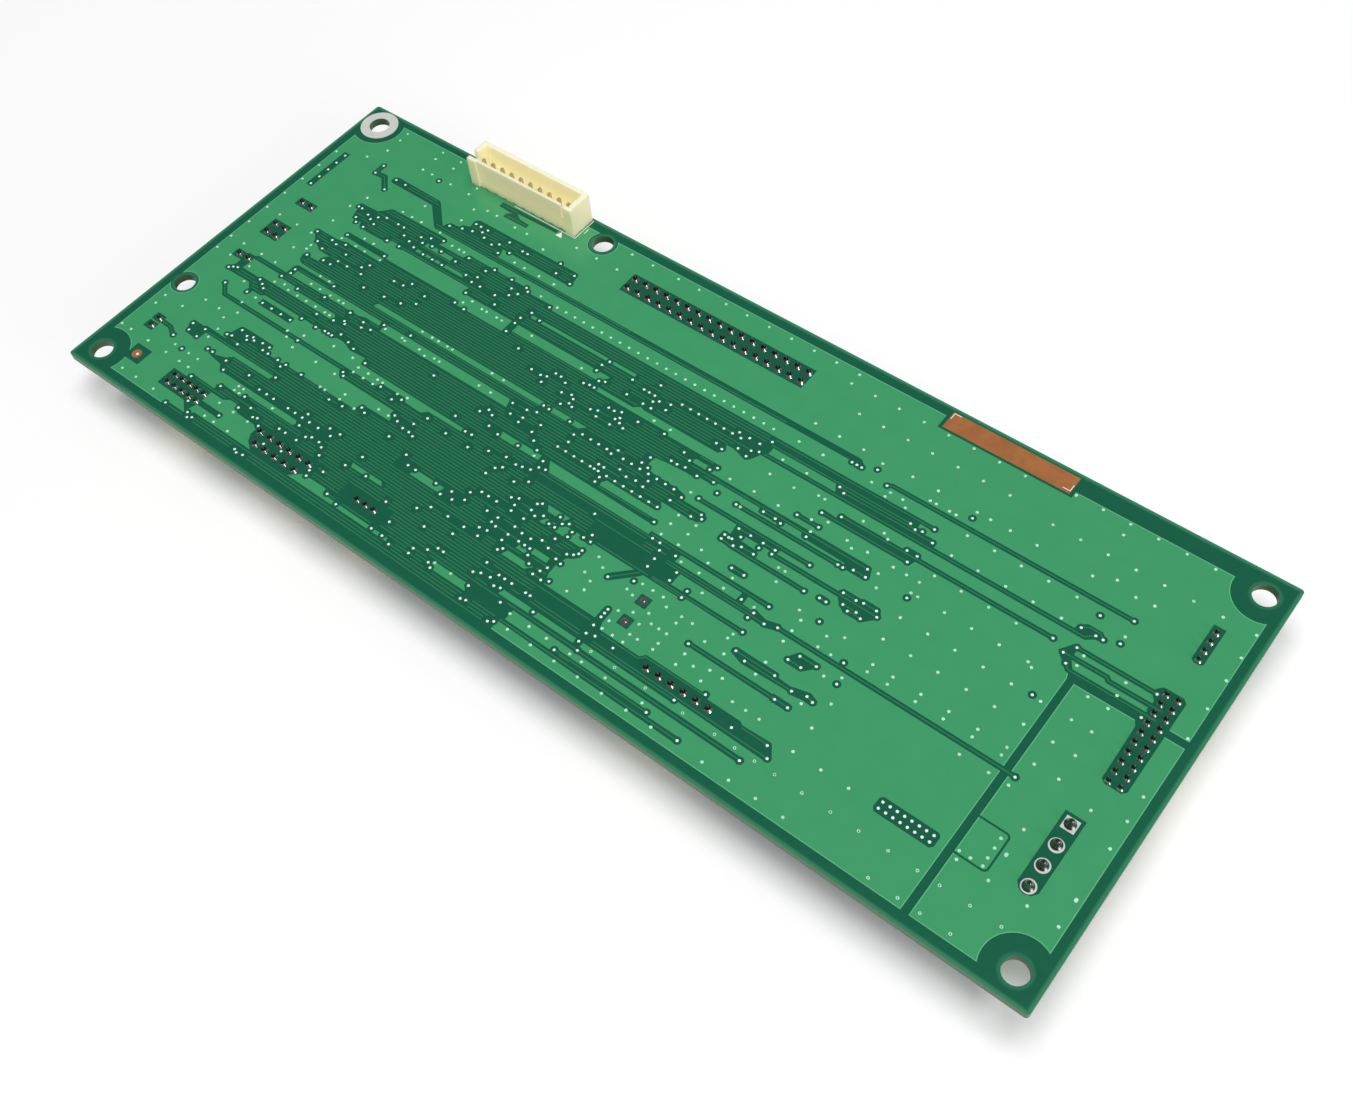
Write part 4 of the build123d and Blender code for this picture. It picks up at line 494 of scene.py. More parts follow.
BRIGHT_SINGLES = (
    (-77.9, 32.8), (-90.7, 29.6), (-90.7, 27.1), (-85.6, 24.6), (-85.5, 28.0), (-82.9, 28.0),
    (-99.75, 27.2), (-99.75, 24.65), (-99.75, 22.2), (-99.75, 19.65), (-99.75, 17.2), (-67.15, 24.5),
    (-64.5, 25.4), (-62.3, 26.0), (-60.4, 26.9), (-59.1, 26.0), (-56.6, 25.4), (-55.3, 26.3),
    (-54.0, 24.4), (-40.9, 26.8), (-37.45, 28.3), (-36.8, 26.15), (-52.1, 25.7), (-41.8, 29.25),
    (-86.45, 18.0), (-85.5, 18.0), (-83.2, 17.4), (-80.9, 18.0), (-81.9, 16.75), (-80.3, 16.1),
    (-84.8, 15.5), (-83.8, 14.5), (-81.55, 14.3), (-67.8, 19.8), (-68.4, 17.9), (-72.9, 17.3),
    (-70.9, 16.7), (-69.0, 16.0), (-74.8, 14.3), (-71.6, 14.5), (-65.2, 20.7), (-88.4, 8.1), (-84.1, 8.1),
    (-80.9, 8.7), (-82.6, 7.7), (-78.9, 6.8), (-86.4, 6.2), (-84.1, 5.25), (-72.8, 7.4), (-73.8, 6.1),
    (-78.9, 4.6), (-76.4, 4.6), (-72.6, 4.7), (-81.55, 3.1), (-79.6, 3.1), (-65.8, 7.1), (-63.5, 7.3),
    (-62.3, 8.6), (-64.5, 3.0), (-60.6, 3.6), (-69.6, 2.45), (-85.4, 2.3), (-58.0, 7.6), (-58.0, 5.2),
    (-52.0, 9.8), (-34.1, 8.1), (-28.7, 5.7), (-26.4, 5.6), (-25.2, 6.0), (-25.2, 4.4), (-24.3, 7.5),
    (-23.0, 7.5), (-21.4, 6.8), (-18.6, 8.7), (-18.6, 5.3), (-20.5, 4.7), (-18.9, 2.5), (-57.8, 20.1),
    (-51.4, 20.6), (-46.9, 20.6), (-43.1, 20.6), (-42.2, 19.95), (-36.1, 19.3), (-52.7, 19.4),
    (-45.4, 18.8), (-43.4, 18.4), (-59.4, 17.9), (-52.9, 17.25), (-44.65, 17.2), (-55.2, 16.4),
    (-37.95, 16.3), (-45.3, 13.8), (-38.9, 14.1), (-52.0, 12.9), (-38.9, 12.5), (-18.6, 14.0),
    (-18.6, 12.4), (-49.4, 9.5), (-38.9, 10.0), (17.6, 17.6), (-6.6, 16.4), (17.0, 14.5), (13.5, 13.0),
    (15.7, 12.4), (-17.9, 15.4), (-11.7, 14.5), (-4.5, 13.3), (-5.4, 12.6), (-2.3, 12.4), (9.7, 11.7),
    (-16.6, 10.7), (0.9, 8.0), (-11.1, 6.9), (-9.8, 6.9), (-8.5, 7.45), (-4.7, 7.4), (-7.9, 6.2),
    (6.3, 6.8), (13.2, 7.45), (12.3, 6.4), (-8.5, 5.55), (-7.25, 5.25), (-6.0, 4.7), (8.2, 5.9),
    (8.5, 4.3), (14.5, 4.6), (-12.3, 5.25), (-13.6, 4.7), (-8.5, 4.0), (-17.7, 4.7), (-17.7, 3.5),
    (-16.7, 3.15), (2.15, 2.45), (36.0, 23.2), (54.6, 23.9), (81.1, 19.5), (86.2, 16.75), (54.4, 4.3),
    (79.8, 0.8), (39.2, 21.3), (85.95, 21.7), (50.7, 18.3), (46.8, 17.0), (48.1, 16.4), (32.8, 16.4),
    (34.1, 15.7), (51.9, 15.8), (49.3, 16.75), (36.6, 11.4), (33.4, 10.2), (49.3, 12.1), (51.3, 12.1),
    (50.6, 10.2), (77.2, 11.5), (30.25, 7.4), (34.7, 7.4), (46.1, 5.2), (29.0, 4.3), (44.3, 3.7),
    (46.7, 3.7), (79.8, 15.8), (82.4, 15.8), (83.7, 15.8), (81.1, 12.2), (79.8, 10.2), (81.1, 8.7),
    (95.1, 12.1), (95.1, 7.1), (-74.7, -0.7), (-84.45, -1.9), (-84.45, -3.1), (-85.4, -4.7),
    (-80.2, -5.3), (-74.1, -3.8), (-67.0, -3.8), (-63.15, -4.1), (-62.5, -5.3), (-60.6, -4.7),
    (-66.4, -6.0), (-65.8, -6.5), (-68.3, -7.1), (-96.1, -9.1), (-95.4, -8.5), (-94.5, -8.1),
    (-88.3, -7.8), (-87.0, -8.4), (-86.0, -9.1), (-88.0, -11.6), (-72.2, -7.8), (-73.8, -10.3),
    (-69.9, -10.3), (-67.7, -10.0), (-66.7, -10.0), (-65.8, -10.0), (-64.5, -8.8), (-61.9, -9.4),
    (-59.9, -10.0), (-70.3, -14.7), (-93.5, -12.4), (-81.2, -19.1), (-78.0, -19.1), (-79.3, -19.6),
    (-77.3, -19.6), (-78.6, -20.3), (-75.4, -19.1), (-73.5, -19.1), (-74.1, -20.3), (-72.6, -20.35),
    (-69.9, -20.35), (-67.7, -20.3), (-63.5, -20.3), (-81.85, -21.2), (-82.9, -21.5), (-79.3, -22.1),
    (-68.3, -21.2), (-67.0, -23.6), (-90.6, -23.4), (-87.4, -23.1), (-90.0, -25.0), (-87.4, -25.3),
    (-83.2, -26.2), (-81.85, -26.2), (-78.0, -26.2), (-71.6, -26.15), (-76.7, -28.05), (-91.5, -27.7),
    (-87.4, -29.1), (-68.4, -30.2), (-74.1, -31.1), (-65.4, -31.4), (-80.6, -32.7), (-67.4, -32.7),
    (-63.5, -32.7), (-62.6, -32.35), (-61.1, -33.5), (-69.0, -36.1), (-76.5, -37.1), (-74.5, -39.0),
    (-72.9, -39.35), (-73.7, -39.85), (-79.75, -39.85), (-53.2, -1.3), (-59.3, -2.3), (-42.7, -6.0),
    (-28.7, -6.1), (-27.4, -6.7), (-29.9, -7.3), (-26.2, -8.85), (-23.6, -9.4), (-32.8, -10.7),
    (-55.5, -11.3), (-27.4, -12.2), (-28.9, -12.3), (-26.2, -2.4), (-23.0, -2.1), (-21.15, 0.44),
    (-19.8, 0.37), (-21.15, -1.45), (-22.4, -3.9), (-22.4, -5.1), (-24.9, -4.5), (-18.6, -3.3),
    (-18.9, -5.4), (-18.9, -9.2), (-49.0, -13.7), (-43.6, -13.7), (-45.2, -14.7), (-57.4, -15.25),
    (-56.7, -15.9), (-36.6, -14.1), (-31.5, -14.7), (-26.1, -14.7), (-22.4, -13.15), (-18.9, -12.3),
    (-18.9, -15.3), (-19.5, -17.1), (-37.8, -16.5), (-42.05, -17.1), (-40.7, -17.8), (-38.8, -18.4),
    (-37.2, -18.4), (-36.0, -18.7), (-48.4, -19.3), (-47.1, -19.9), (-51.6, -21.2), (-54.8, -21.5),
    (-39.5, -21.2), (-34.0, -22.4), (-32.1, -23.9), (-30.25, -23.9), (-25.2, -23.9), (-21.7, -23.6),
    (-18.6, -23.6), (-20.5, -24.85), (-23.0, -25.2), (-18.9, -21.8), (-55.5, -26.2), (-49.7, -26.2),
    (-47.2, -26.1), (-40.15, -27.4), (-54.9, -29.0), (-51.0, -29.6), (-49.1, -29.6), (-52.0, -30.2),
    (-47.9, -30.2), (-41.4, -30.5), (-36.6, -30.1), (-22.4, -28.2), (-18.6, -27.9), (-24.3, -29.8),
    (-29.7, -32.0), (-20.5, -31.9), (-43.6, -33.9), (-53.3, -35.1), (-45.9, -35.1), (-57.2, -35.8),
    (-26.2, -34.75), (-39.5, -36.9), (-45.5, -36.3), (-36.6, -37.6), (-27.8, -37.6), (-25.2, -37.6),
    (-23.0, -38.2), (-18.9, -36.3), (-18.9, -37.5), (-60.7, -39.75), (-59.9, -40.1), (-58.5, -39.8),
    (-14.8, 0.37), (-3.5, 0.37), (1.6, 0.7), (3.2, 0.4), (14.5, 0.37), (-4.1, -0.9), (11.95, -1.2),
    (-12.3, -1.5), (5.05, -1.8), (17.0, -2.1), (17.6, -2.8), (10.7, -2.8), (3.2, -3.0), (1.3, -3.3),
    (5.05, -3.3), (15.7, -3.4), (-0.6, -2.7), (-12.0, -3.3), (22.7, -3.0), (-2.5, -6.1), (-2.5, -7.3),
    (-17.3, -6.7), (-15.4, -8.0), (11.3, -8.0), (-12.9, -9.2), (-11.3, -10.4), (-12.6, -10.7),
    (13.2, -10.75), (14.8, -10.75), (18.6, -11.3), (15.7, -12.0), (-13.5, -11.9), (-15.1, -12.3),
    (-16.4, -12.6), (1.9, -12.6), (-12.0, -14.1), (-17.9, -14.4), (-14.15, -15.6), (16.05, -13.8),
    (16.05, -15.7), (20.8, -13.8), (20.8, -15.7), (-6.9, -16.25), (-7.6, -16.8), (-2.5, -16.6),
    (-0.3, -16.8), (4.4, -16.25), (-1.3, -17.5), (3.5, -17.5), (5.05, -17.5), (-11.0, -17.8),
    (-5.05, -18.1), (1.2, -17.8), (-12.25, -18.4), (-7.6, -18.4), (-6.3, -19.0), (-10.7, -19.3),
    (-3.2, -18.8), (-1.9, -18.8), (1.2, -19.0), (16.05, -19.3), (5.05, -19.7), (4.4, -21.2),
    (11.95, -21.2), (-1.9, -22.1), (3.4, -21.8), (-7.6, -22.7), (0.0, -22.7), (2.5, -23.6), (3.8, -23.9),
    (-11.6, -24.3), (-1.9, -25.8), (2.5, -25.8), (-7.6, -26.1), (-11.0, -26.1), (-12.55, -26.4),
    (16.05, -26.1), (16.05, -27.0), (16.05, -27.9), (-0.6, -27.0), (1.9, -27.0), (4.5, -27.7),
    (-6.3, -27.3), (-6.9, -28.0), (1.3, -28.2), (3.2, -28.3), (-14.8, -27.9), (-11.6, -27.9),
    (-15.4, -30.1), (-6.6, -31.0), (16.05, -29.8), (16.05, -31.7), (17.6, -31.3), (21.4, -31.3),
    (-4.1, -32.9), (-6.0, -33.2), (-7.25, -33.8), (-2.5, -33.8), (-1.3, -33.5), (6.3, -33.8),
    (16.05, -33.6), (17.0, -35.05), (-15.4, -33.8), (-14.15, -33.8), (-16.7, -35.05), (0.6, -35.6),
    (-6.0, -36.3), (-14.8, -36.9), (-13.8, -37.5), (13.85, -37.2), (-5.4, -39.0), (-4.4, -38.7),
    (2.2, -39.0), (1.3, -39.6), (37.9, 0.3), (31.5, -1.6), (52.5, -1.6), (40.06, -4.4), (37.2, -10.2),
    (32.7, -11.7), (53.0, -11.7), (35.9, -12.6), (38.5, -13.3), (40.7, -12.6), (84.9, -12.8),
    (35.6, -13.9), (24.5, -15.7), (24.5, -17.2), (54.3, -15.5), (36.6, -16.6), (38.7, -29.2),
    (51.8, -30.6), (53.1, -32.4), (45.5, -31.4), (35.3, -32.9), (49.9, -35.2), (33.1, -37.2),
    (40.06, -38.2), (25.2, -1.85), (29.0, -1.85), (24.2, -3.0), (45.5, -0.9), (48.0, -0.9), (46.7, -2.8),
    (49.3, -2.8), (46.7, -14.8), (49.9, -14.8), (45.5, -16.4), (48.0, -16.4), (37.8, -20.0),
    (45.5, -20.0), (40.06, -20.7), (49.3, -20.7), (51.8, -20.05), (53.1, -20.4),
)

# Colours as the finished surfaces take them, each with its deeper tone
MASK_ON_COPPER = (0.053, 0.338, 0.140)
MASK_ON_COPPER_DEEP = (0.044, 0.310, 0.127)
MASK_ON_TRACE = (0.034, 0.205, 0.099)
MASK_ON_TRACE_DEEP = (0.022, 0.163, 0.079)
MASK_AT_EDGE = (0.145, 0.526, 0.276)
MASK_AT_EDGE_DEEP = (0.092, 0.408, 0.197)
MASK_ON_LAMINATE = (0.010, 0.118, 0.063)
MASK_ON_LAMINATE_DEEP = (0.007, 0.102, 0.054)
MASK_RIM = (0.059, 0.303, 0.158)
FIBRE = (0.125, 0.224, 0.125)
FIBRE_DEEP = (0.092, 0.178, 0.095)
COPPER = (0.645, 0.250, 0.084)
COPPER_DEEP = (0.355, 0.137, 0.050)
CREAM = (0.960, 0.890, 0.610)
CREAM_DEEP = (0.940, 0.860, 0.560)
# Painted glow of the cream plastic, which lightens its shaded inside
CREAM_PAINTED_GLOW = (1.0, 0.90, 0.60)
SOLDER = (0.97, 0.98, 0.97)
SOLDER_DEEP = (0.88, 0.90, 0.88)
# Painted dark reflection on the pins of the joints, in place of the bright solder
PIN_PAINTED_DARK = (0.09, 0.09, 0.085)
# Solder of the power joints, painted darker than the other solder as its dark reflection
DOME_PAINTED_DARK = (0.40, 0.40, 0.39)
DOME_PAINTED_DARK_DEEP = (0.27, 0.27, 0.265)
TIN = (0.79, 0.80, 0.76)
TIN_DEEP = (0.63, 0.65, 0.62)
# Tin tops of the bright vias, with their reflection of the light painted in as a near-white colour
VIA_TIN_AND_SHEEN = (0.92, 0.99, 0.95)
VIA_TIN_AND_SHEEN_DEEP = (0.80, 0.96, 0.88)
VIA_MASK = (0.72, 0.98, 0.84)
VIA_MASK_DEEP = (0.21, 0.62, 0.38)
PRINT = (0.93, 0.97, 0.91)
PRINT_DEEP = (0.80, 0.88, 0.79)
GREY = (0.24, 0.24, 0.23)
GREY_DEEP = (0.19, 0.19, 0.185)
BLACK = (0.022, 0.022, 0.022)
BLACK_DEEP = (0.014, 0.014, 0.014)
CAN = (0.62, 0.62, 0.62)
CAN_DEEP = (0.52, 0.52, 0.52)
CERAMIC = (0.40, 0.29, 0.19)
CERAMIC_DEEP = (0.33, 0.24, 0.15)
PIN = (0.68, 0.57, 0.35)
PIN_DEEP = (0.54, 0.44, 0.26)

# Strengths of the finishes
GRAIN_DETAIL = 3.0
BUMP_DISTANCE = 0.05 * MM
COAT_ROUGHNESS = 0.12
LAMINATE_COAT = 0.2
CREAM_SCATTER = 0.8
CREAM_SCATTER_REACH = (1.0, 0.85, 0.5)
CREAM_DEPTH = 3.0 * MM
# Strength of the painted glow that lightens the cream's shaded inside
CREAM_PAINTED_GLOW_LEVEL = 0.16

# Numbers of the sockets that share a name in a node
MIX_FACTOR = 0
MIX_FIRST = 6
MIX_SECOND = 7
MIX_RESULT = 2
RANDOM_MOST = 3
RANDOM_RESULT = 1

# Kinds of copper, in the order of their materials
POUR_KIND = 0
TRACE_KIND = 1
EDGE_KIND = 2


# Outlines
def joined_rows(rows):
    return [(along, far) for far, places in rows for along in places]


def spread_row(far, first, last, count):
    step = (last - first) / (count - 1)
    return [(first + step * number, far) for number in range(count)]


def ring_of(centre, radius, steps):
    turn = 2.0 * math.pi / steps
    return [
        (centre[0] + radius * math.cos(turn * number), centre[1] + radius * math.sin(turn * number))
        for number in range(steps)
    ]


def strip_of(start, end, half):
    """Outline of one straight stretch of trace."""
    along = Vector((end[0] - start[0], end[1] - start[1])).normalized() * half
    side = Vector((-along.y, along.x))
    return [
        (start[0] + side.x, start[1] + side.y), (start[0] - side.x, start[1] - side.y),
        (end[0] - side.x, end[1] - side.y), (end[0] + side.x, end[1] + side.y),
    ]


def sides_of(outline):
    """Each corner of the outline with the next one."""
    return zip(outline, outline[1:] + outline[:1])


def upright(outline):
    """The outline in counter-clockwise order."""
    area = sum(x0 * y1 - x1 * y0 for (x0, y0), (x1, y1) in sides_of(outline))
    return outline if area > 0.0 else outline[::-1]


def grown(outline, width):
    """The outline moved outwards by the width, or inwards where the width is negative."""
    outline = upright(outline)
    moved = []
    for before, here, after in zip(outline[-1:] + outline[:-1], outline, outline[1:] + outline[:1]):
        first = Vector((here[0] - before[0], here[1] - before[1])).normalized()
        second = Vector((after[0] - here[0], after[1] - here[1])).normalized()
        side = Vector((first.y + second.y, -first.x - second.x))
        side *= 2.0 * width / side.length_squared
        moved.append((here[0] + side.x, here[1] + side.y))
    return moved


def box_of(left, right, near, far):
    return [(left, near), (right, near), (right, far), (left, far)]


def stretches(points):
    return list(zip(points[:-1], points[1:]))


PALE_VIAS = joined_rows(PALE_ROWS) + spread_row(*EVEN_ROW) + list(PALE_SINGLES)
PALE_VIAS += [(EDGE_COLUMN[0], far) for far in EDGE_COLUMN[1]]
OPEN_VIAS = joined_rows(OPEN_ROWS)
BRIGHT_VIAS = joined_rows(BRIGHT_ROWS) + list(BRIGHT_SINGLES)


def inside(points, outline):
    """Which of the points lie inside the outline."""
    along = points[:, 0]
    far = points[:, 1]
    result = numpy.zeros(len(points), dtype=bool)
    for (x0, y0), (x1, y1) in sides_of(outline):
        if y0 == y1:
            continue
        crosses = (y0 > far) != (y1 > far)
        result ^= crosses & (along < x0 + (far - y0) / (y1 - y0) * (x1 - x0))
    return result


def inside_any(points, outlines):
    result = numpy.zeros(len(points), dtype=bool)
    for outline in outlines:
        result |= inside(points, outline)
    return result


# Traces that fill a field
def spans_at(outline, far):
    """Stretches of a line along the board that lie inside the outline."""
    cuts = []
    for (x0, y0), (x1, y1) in sides_of(outline):
        if (y0 > far) != (y1 > far):
            cuts.append(x0 + (far - y0) / (y1 - y0) * (x1 - x0))
    cuts.sort()
    return list(zip(cuts[::2], cuts[1::2]))


def merged(spans):
    result = []
    for start, end in sorted(spans):
        if result and start <= result[-1][1]:
            result[-1] = (result[-1][0], max(end, result[-1][1]))
        else:
            result.append((start, end))
    return result


def overlap(first, second):
    result = []
    for start, end in first:
        for other_start, other_end in second:
            low = max(start, other_start)
            high = min(end, other_end)
            if low < high:
                result.append((low, high))
    return result


def without(spans, holes):
    result = list(spans)
    for hole_start, hole_end in holes:
        kept = []
        for start, end in result:
            if hole_end <= start or hole_start >= end:
                kept.append((start, end))
                continue
            if start < hole_start:
                kept.append((start, hole_start))
            if hole_end < end:
                kept.append((hole_end, end))
        result = kept
    return result


def via_gaps(far):
    """Stretches of a line along the board that pass a bright via too closely, but don't meet its middle."""
    gaps = []
    for along, via_far in BRIGHT_VIAS:
        gap = abs(via_far - far)
        if TRACE_HALF < gap < VIA_QUIET:
            reach = math.sqrt(VIA_QUIET ** 2 - gap ** 2)
            gaps.append((along - reach, along + reach))
    return gaps


def ruled_traces():
    """Parallel traces that fill the cleared fields between their vias."""
    strips = []
    blocks = [*ISLANDS, *(box_of(*box) for box in EMPTY_BOXES), *BARE_FIELDS]
    lowest = min(place[1] for field in RULED_FIELDS for place in field)
    highest = max(place[1] for field in RULED_FIELDS for place in field)
    far = lowest + TRACE_PITCH
    while far < highest:
        open_spans = None
        holes = []
        for level in (far - TRACE_CLEARANCE, far, far + TRACE_CLEARANCE):
            here = merged([span for field in RULED_FIELDS for span in spans_at(field, level)])
            open_spans = here if open_spans is None else overlap(open_spans, here)
            for block in blocks:
                for start, end in spans_at(block, level):
                    holes.append((start - TRACE_CLEARANCE, end + TRACE_CLEARANCE))
        holes += via_gaps(far)
        holes.append((RULED_RIGHT, 2.0 * HALF_LENGTH / MM))
        for start, end in without(open_spans, holes):
            if end - start > TRACE_LEAST:
                first = (start + TRACE_CLEARANCE, far)
                last = (end - TRACE_CLEARANCE, far)
                strips.append(strip_of(first, last, TRACE_HALF))
        far += TRACE_PITCH
    return strips


# Pieces
def link(name, data):
    piece = bpy.data.objects.new(name, data)
    bpy.context.scene.collection.objects.link(piece)
    return piece


def finished_piece(name, corners, faces, materials, face_slots=None):
    mesh = bpy.data.meshes.new(name)
    mesh.from_pydata(corners, [], faces)
    for material in materials:
        mesh.materials.append(material)
    if face_slots is not None:
        mesh.polygons.foreach_set("material_index", face_slots)
    mesh.update()
    piece = link(name, mesh)
    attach(piece, "root")
    return piece


# Materials
def grain_group():
    """Fine unevenness shared by the surfaces: a factor for colour and a height for the bump."""
    group = bpy.data.node_groups.new("fine_grain", "ShaderNodeTree")
    for name, side in (("Scale", "INPUT"), ("Factor", "OUTPUT"), ("Height", "OUTPUT")):
        group.interface.new_socket(name=name, in_out=side, socket_type="NodeSocketFloat")
    start = group.nodes.new("NodeGroupInput")
    end = group.nodes.new("NodeGroupOutput")
    place = group.nodes.new("ShaderNodeTexCoord")
    noise = group.nodes.new("ShaderNodeTexNoise")
    noise.inputs["Detail"].default_value = GRAIN_DETAIL
    group.links.new(place.outputs["Object"], noise.inputs["Vector"])
    group.links.new(start.outputs["Scale"], noise.inputs["Scale"])
    group.links.new(noise.outputs["Fac"], end.inputs["Factor"])
    group.links.new(noise.outputs["Fac"], end.inputs["Height"])
    return group


GRAIN = grain_group()


def colour_mix(tree, factor, first, second):
    """The first colour where the factor is 0 and the second where it is 1: plain tones or node outputs."""
    node = tree.nodes.new("ShaderNodeMix")
    node.data_type = "RGBA"
    tree.links.new(factor, node.inputs[MIX_FACTOR])
    for number, colour in ((MIX_FIRST, first), (MIX_SECOND, second)):
        if isinstance(colour, tuple):
            node.inputs[number].default_value = (*colour, 1.0)
        else:
            tree.links.new(colour, node.inputs[number])
    return node.outputs[MIX_RESULT]


def finish(name, colour, deep, roughness, grain_scale, bump=0.0, metallic=0.0, coat=0.0, shine=0.5):
    """A plain surface whose colour changes finely between two tones."""
    material = bpy.data.materials.new(name)
    material.use_nodes = True
    tree = material.node_tree
    shader = tree.nodes["Principled BSDF"]
    grain = tree.nodes.new("ShaderNodeGroup")
    grain.name = "grain"
    grain.node_tree = GRAIN
    grain.inputs["Scale"].default_value = grain_scale
    tint = colour_mix(tree, grain.outputs["Factor"], deep, colour)
    tint.node.name = "tint"
    tree.links.new(tint, shader.inputs["Base Color"])
    shader.inputs["Roughness"].default_value = roughness
    shader.inputs["Metallic"].default_value = metallic
    shader.inputs["Coat Weight"].default_value = coat
    shader.inputs["Coat Roughness"].default_value = COAT_ROUGHNESS
    shader.inputs["Specular IOR Level"].default_value = shine
    if bump > 0.0:
        bumps = tree.nodes.new("ShaderNodeBump")
        bumps.inputs["Strength"].default_value = bump
        bumps.inputs["Distance"].default_value = BUMP_DISTANCE
        tree.links.new(grain.outputs["Height"], bumps.inputs["Height"])
        tree.links.new(bumps.outputs["Normal"], shader.inputs["Normal"])
    return material


def math_node(tree, operation, first, second=0.0):
    node = tree.nodes.new("ShaderNodeMath")
    node.operation = operation
    for socket, value in zip(node.inputs, (first, second)):
        if isinstance(value, (int, float)):
            socket.default_value = value
        else:
            tree.links.new(value, socket)
    return node.outputs[0]


def ramp_down(tree, value, band, unit=MM):
    """1 below the band and 0 above it."""
    node = tree.nodes.new("ShaderNodeMapRange")
    node.interpolation_type = "SMOOTHSTEP"
    node.inputs["From Min"].default_value = band[0] * unit
    node.inputs["From Max"].default_value = band[1] * unit
    node.inputs["To Min"].default_value = 1.0
    node.inputs["To Max"].default_value = 0.0
    tree.links.new(value, node.inputs["Value"])
    return node.outputs["Result"]


def split_place(tree):
    """The place on the board as outputs named X, Y and Z."""
    place = tree.nodes.new("ShaderNodeTexCoord")
    split = tree.nodes.new("ShaderNodeSeparateXYZ")
    tree.links.new(place.outputs["Object"], split.inputs["Vector"])
    return split.outputs


def hole_halo(tree, place, hole):
    """1 at the hole's wall, falling to 0 a little way out."""
    squares = []
    for axis, middle in zip("XY", hole):
        gap = math_node(tree, "SUBTRACT", place[axis], middle * MM)
        squares.append(math_node(tree, "MULTIPLY", gap, gap))
    reach = math_node(tree, "SQRT", math_node(tree, "ADD", *squares))
    return ramp_down(tree, reach, HALO_BAND)


def laminate_finish():
    """Green mask on both faces, lighter at the rim and round the holes, and bare fibre at the cut walls."""
    material = finish(
        "laminate_mask", MASK_ON_LAMINATE, MASK_ON_LAMINATE_DEEP, roughness=0.35, grain_scale=900.0,
        coat=LAMINATE_COAT, shine=0.2)
    tree = material.node_tree
    place = split_place(tree)
    end_gap = math_node(tree, "SUBTRACT", HALF_LENGTH, math_node(tree, "ABSOLUTE", place["X"]))
    side_gap = math_node(tree, "SUBTRACT", HALF_WIDTH, math_node(tree, "ABSOLUTE", place["Y"]))
    light = ramp_down(tree, math_node(tree, "MINIMUM", end_gap, side_gap), RIM_BAND)
    for hole in HOLE_PLACES:
        halo = math_node(tree, "MULTIPLY", hole_halo(tree, place, hole), HALO_STRENGTH)
        light = math_node(tree, "MAXIMUM", light, halo)
    light = math_node(tree, "MULTIPLY", light, RIM_STRENGTH)
    mask = colour_mix(tree, light, tree.nodes["tint"].outputs[MIX_RESULT], MASK_RIM)
    fibre = colour_mix(tree, tree.nodes["grain"].outputs["Factor"], FIBRE_DEEP, FIBRE)
    top_gap = math_node(tree, "SUBTRACT", SOLDER_FACE, place["Z"])
    low_gap = math_node(tree, "SUBTRACT", place["Z"], PART_FACE)
    on_face = ramp_down(tree, math_node(tree, "MINIMUM", top_gap, low_gap), FACE_BAND)
    shader = tree.nodes["Principled BSDF"]
    tree.links.new(colour_mix(tree, on_face, fibre, mask), shader.inputs["Base Color"])
    tree.links.new(math_node(tree, "MULTIPLY", on_face, LAMINATE_COAT), shader.inputs["Coat Weight"])
    return material


def cream_finish():
    """Slightly translucent cream plastic, with a painted glow that lightens its shaded inside."""
    material = finish("cream_plastic", CREAM, CREAM_DEEP, roughness=0.42, grain_scale=700.0, bump=0.15)
    shader = material.node_tree.nodes["Principled BSDF"]
    shader.inputs["Subsurface Weight"].default_value = CREAM_SCATTER
    shader.inputs["Subsurface Radius"].default_value = CREAM_SCATTER_REACH
    shader.inputs["Subsurface Scale"].default_value = CREAM_DEPTH
    shader.inputs["Emission Color"].default_value = (*CREAM_PAINTED_GLOW, 1.0)
    shader.inputs["Emission Strength"].default_value = CREAM_PAINTED_GLOW_LEVEL
    return material


def solder_finish():
    """Bright fillet at the foot of a joint, with a painted dark reflection on the pin above it, up to its
    bright tip.
    """
    material = finish("bright_solder", SOLDER, SOLDER_DEEP, roughness=0.24, grain_scale=1500.0, metallic=1.0)
    tree = material.node_tree
    place = split_place(tree)
    above = math_node(tree, "SUBTRACT", place["Z"], SOLDER_FACE)
    below = math_node(tree, "SUBTRACT", PART_FACE, place["Z"])
    height = math_node(tree, "MAXIMUM", above, below)
    foot = ramp_down(tree, height, PIN_FOOT)
    tip = math_node(tree, "SUBTRACT", 1.0, ramp_down(tree, height, PIN_TIP))
    bright = math_node(tree, "MAXIMUM", foot, tip)
    # The pin between foot and tip is painted dark as its dark reflection
    whole = colour_mix(tree, bright, PIN_PAINTED_DARK, tree.nodes["tint"].outputs[MIX_RESULT])
    tree.links.new(whole, tree.nodes["Principled BSDF"].inputs["Base Color"])
    return material


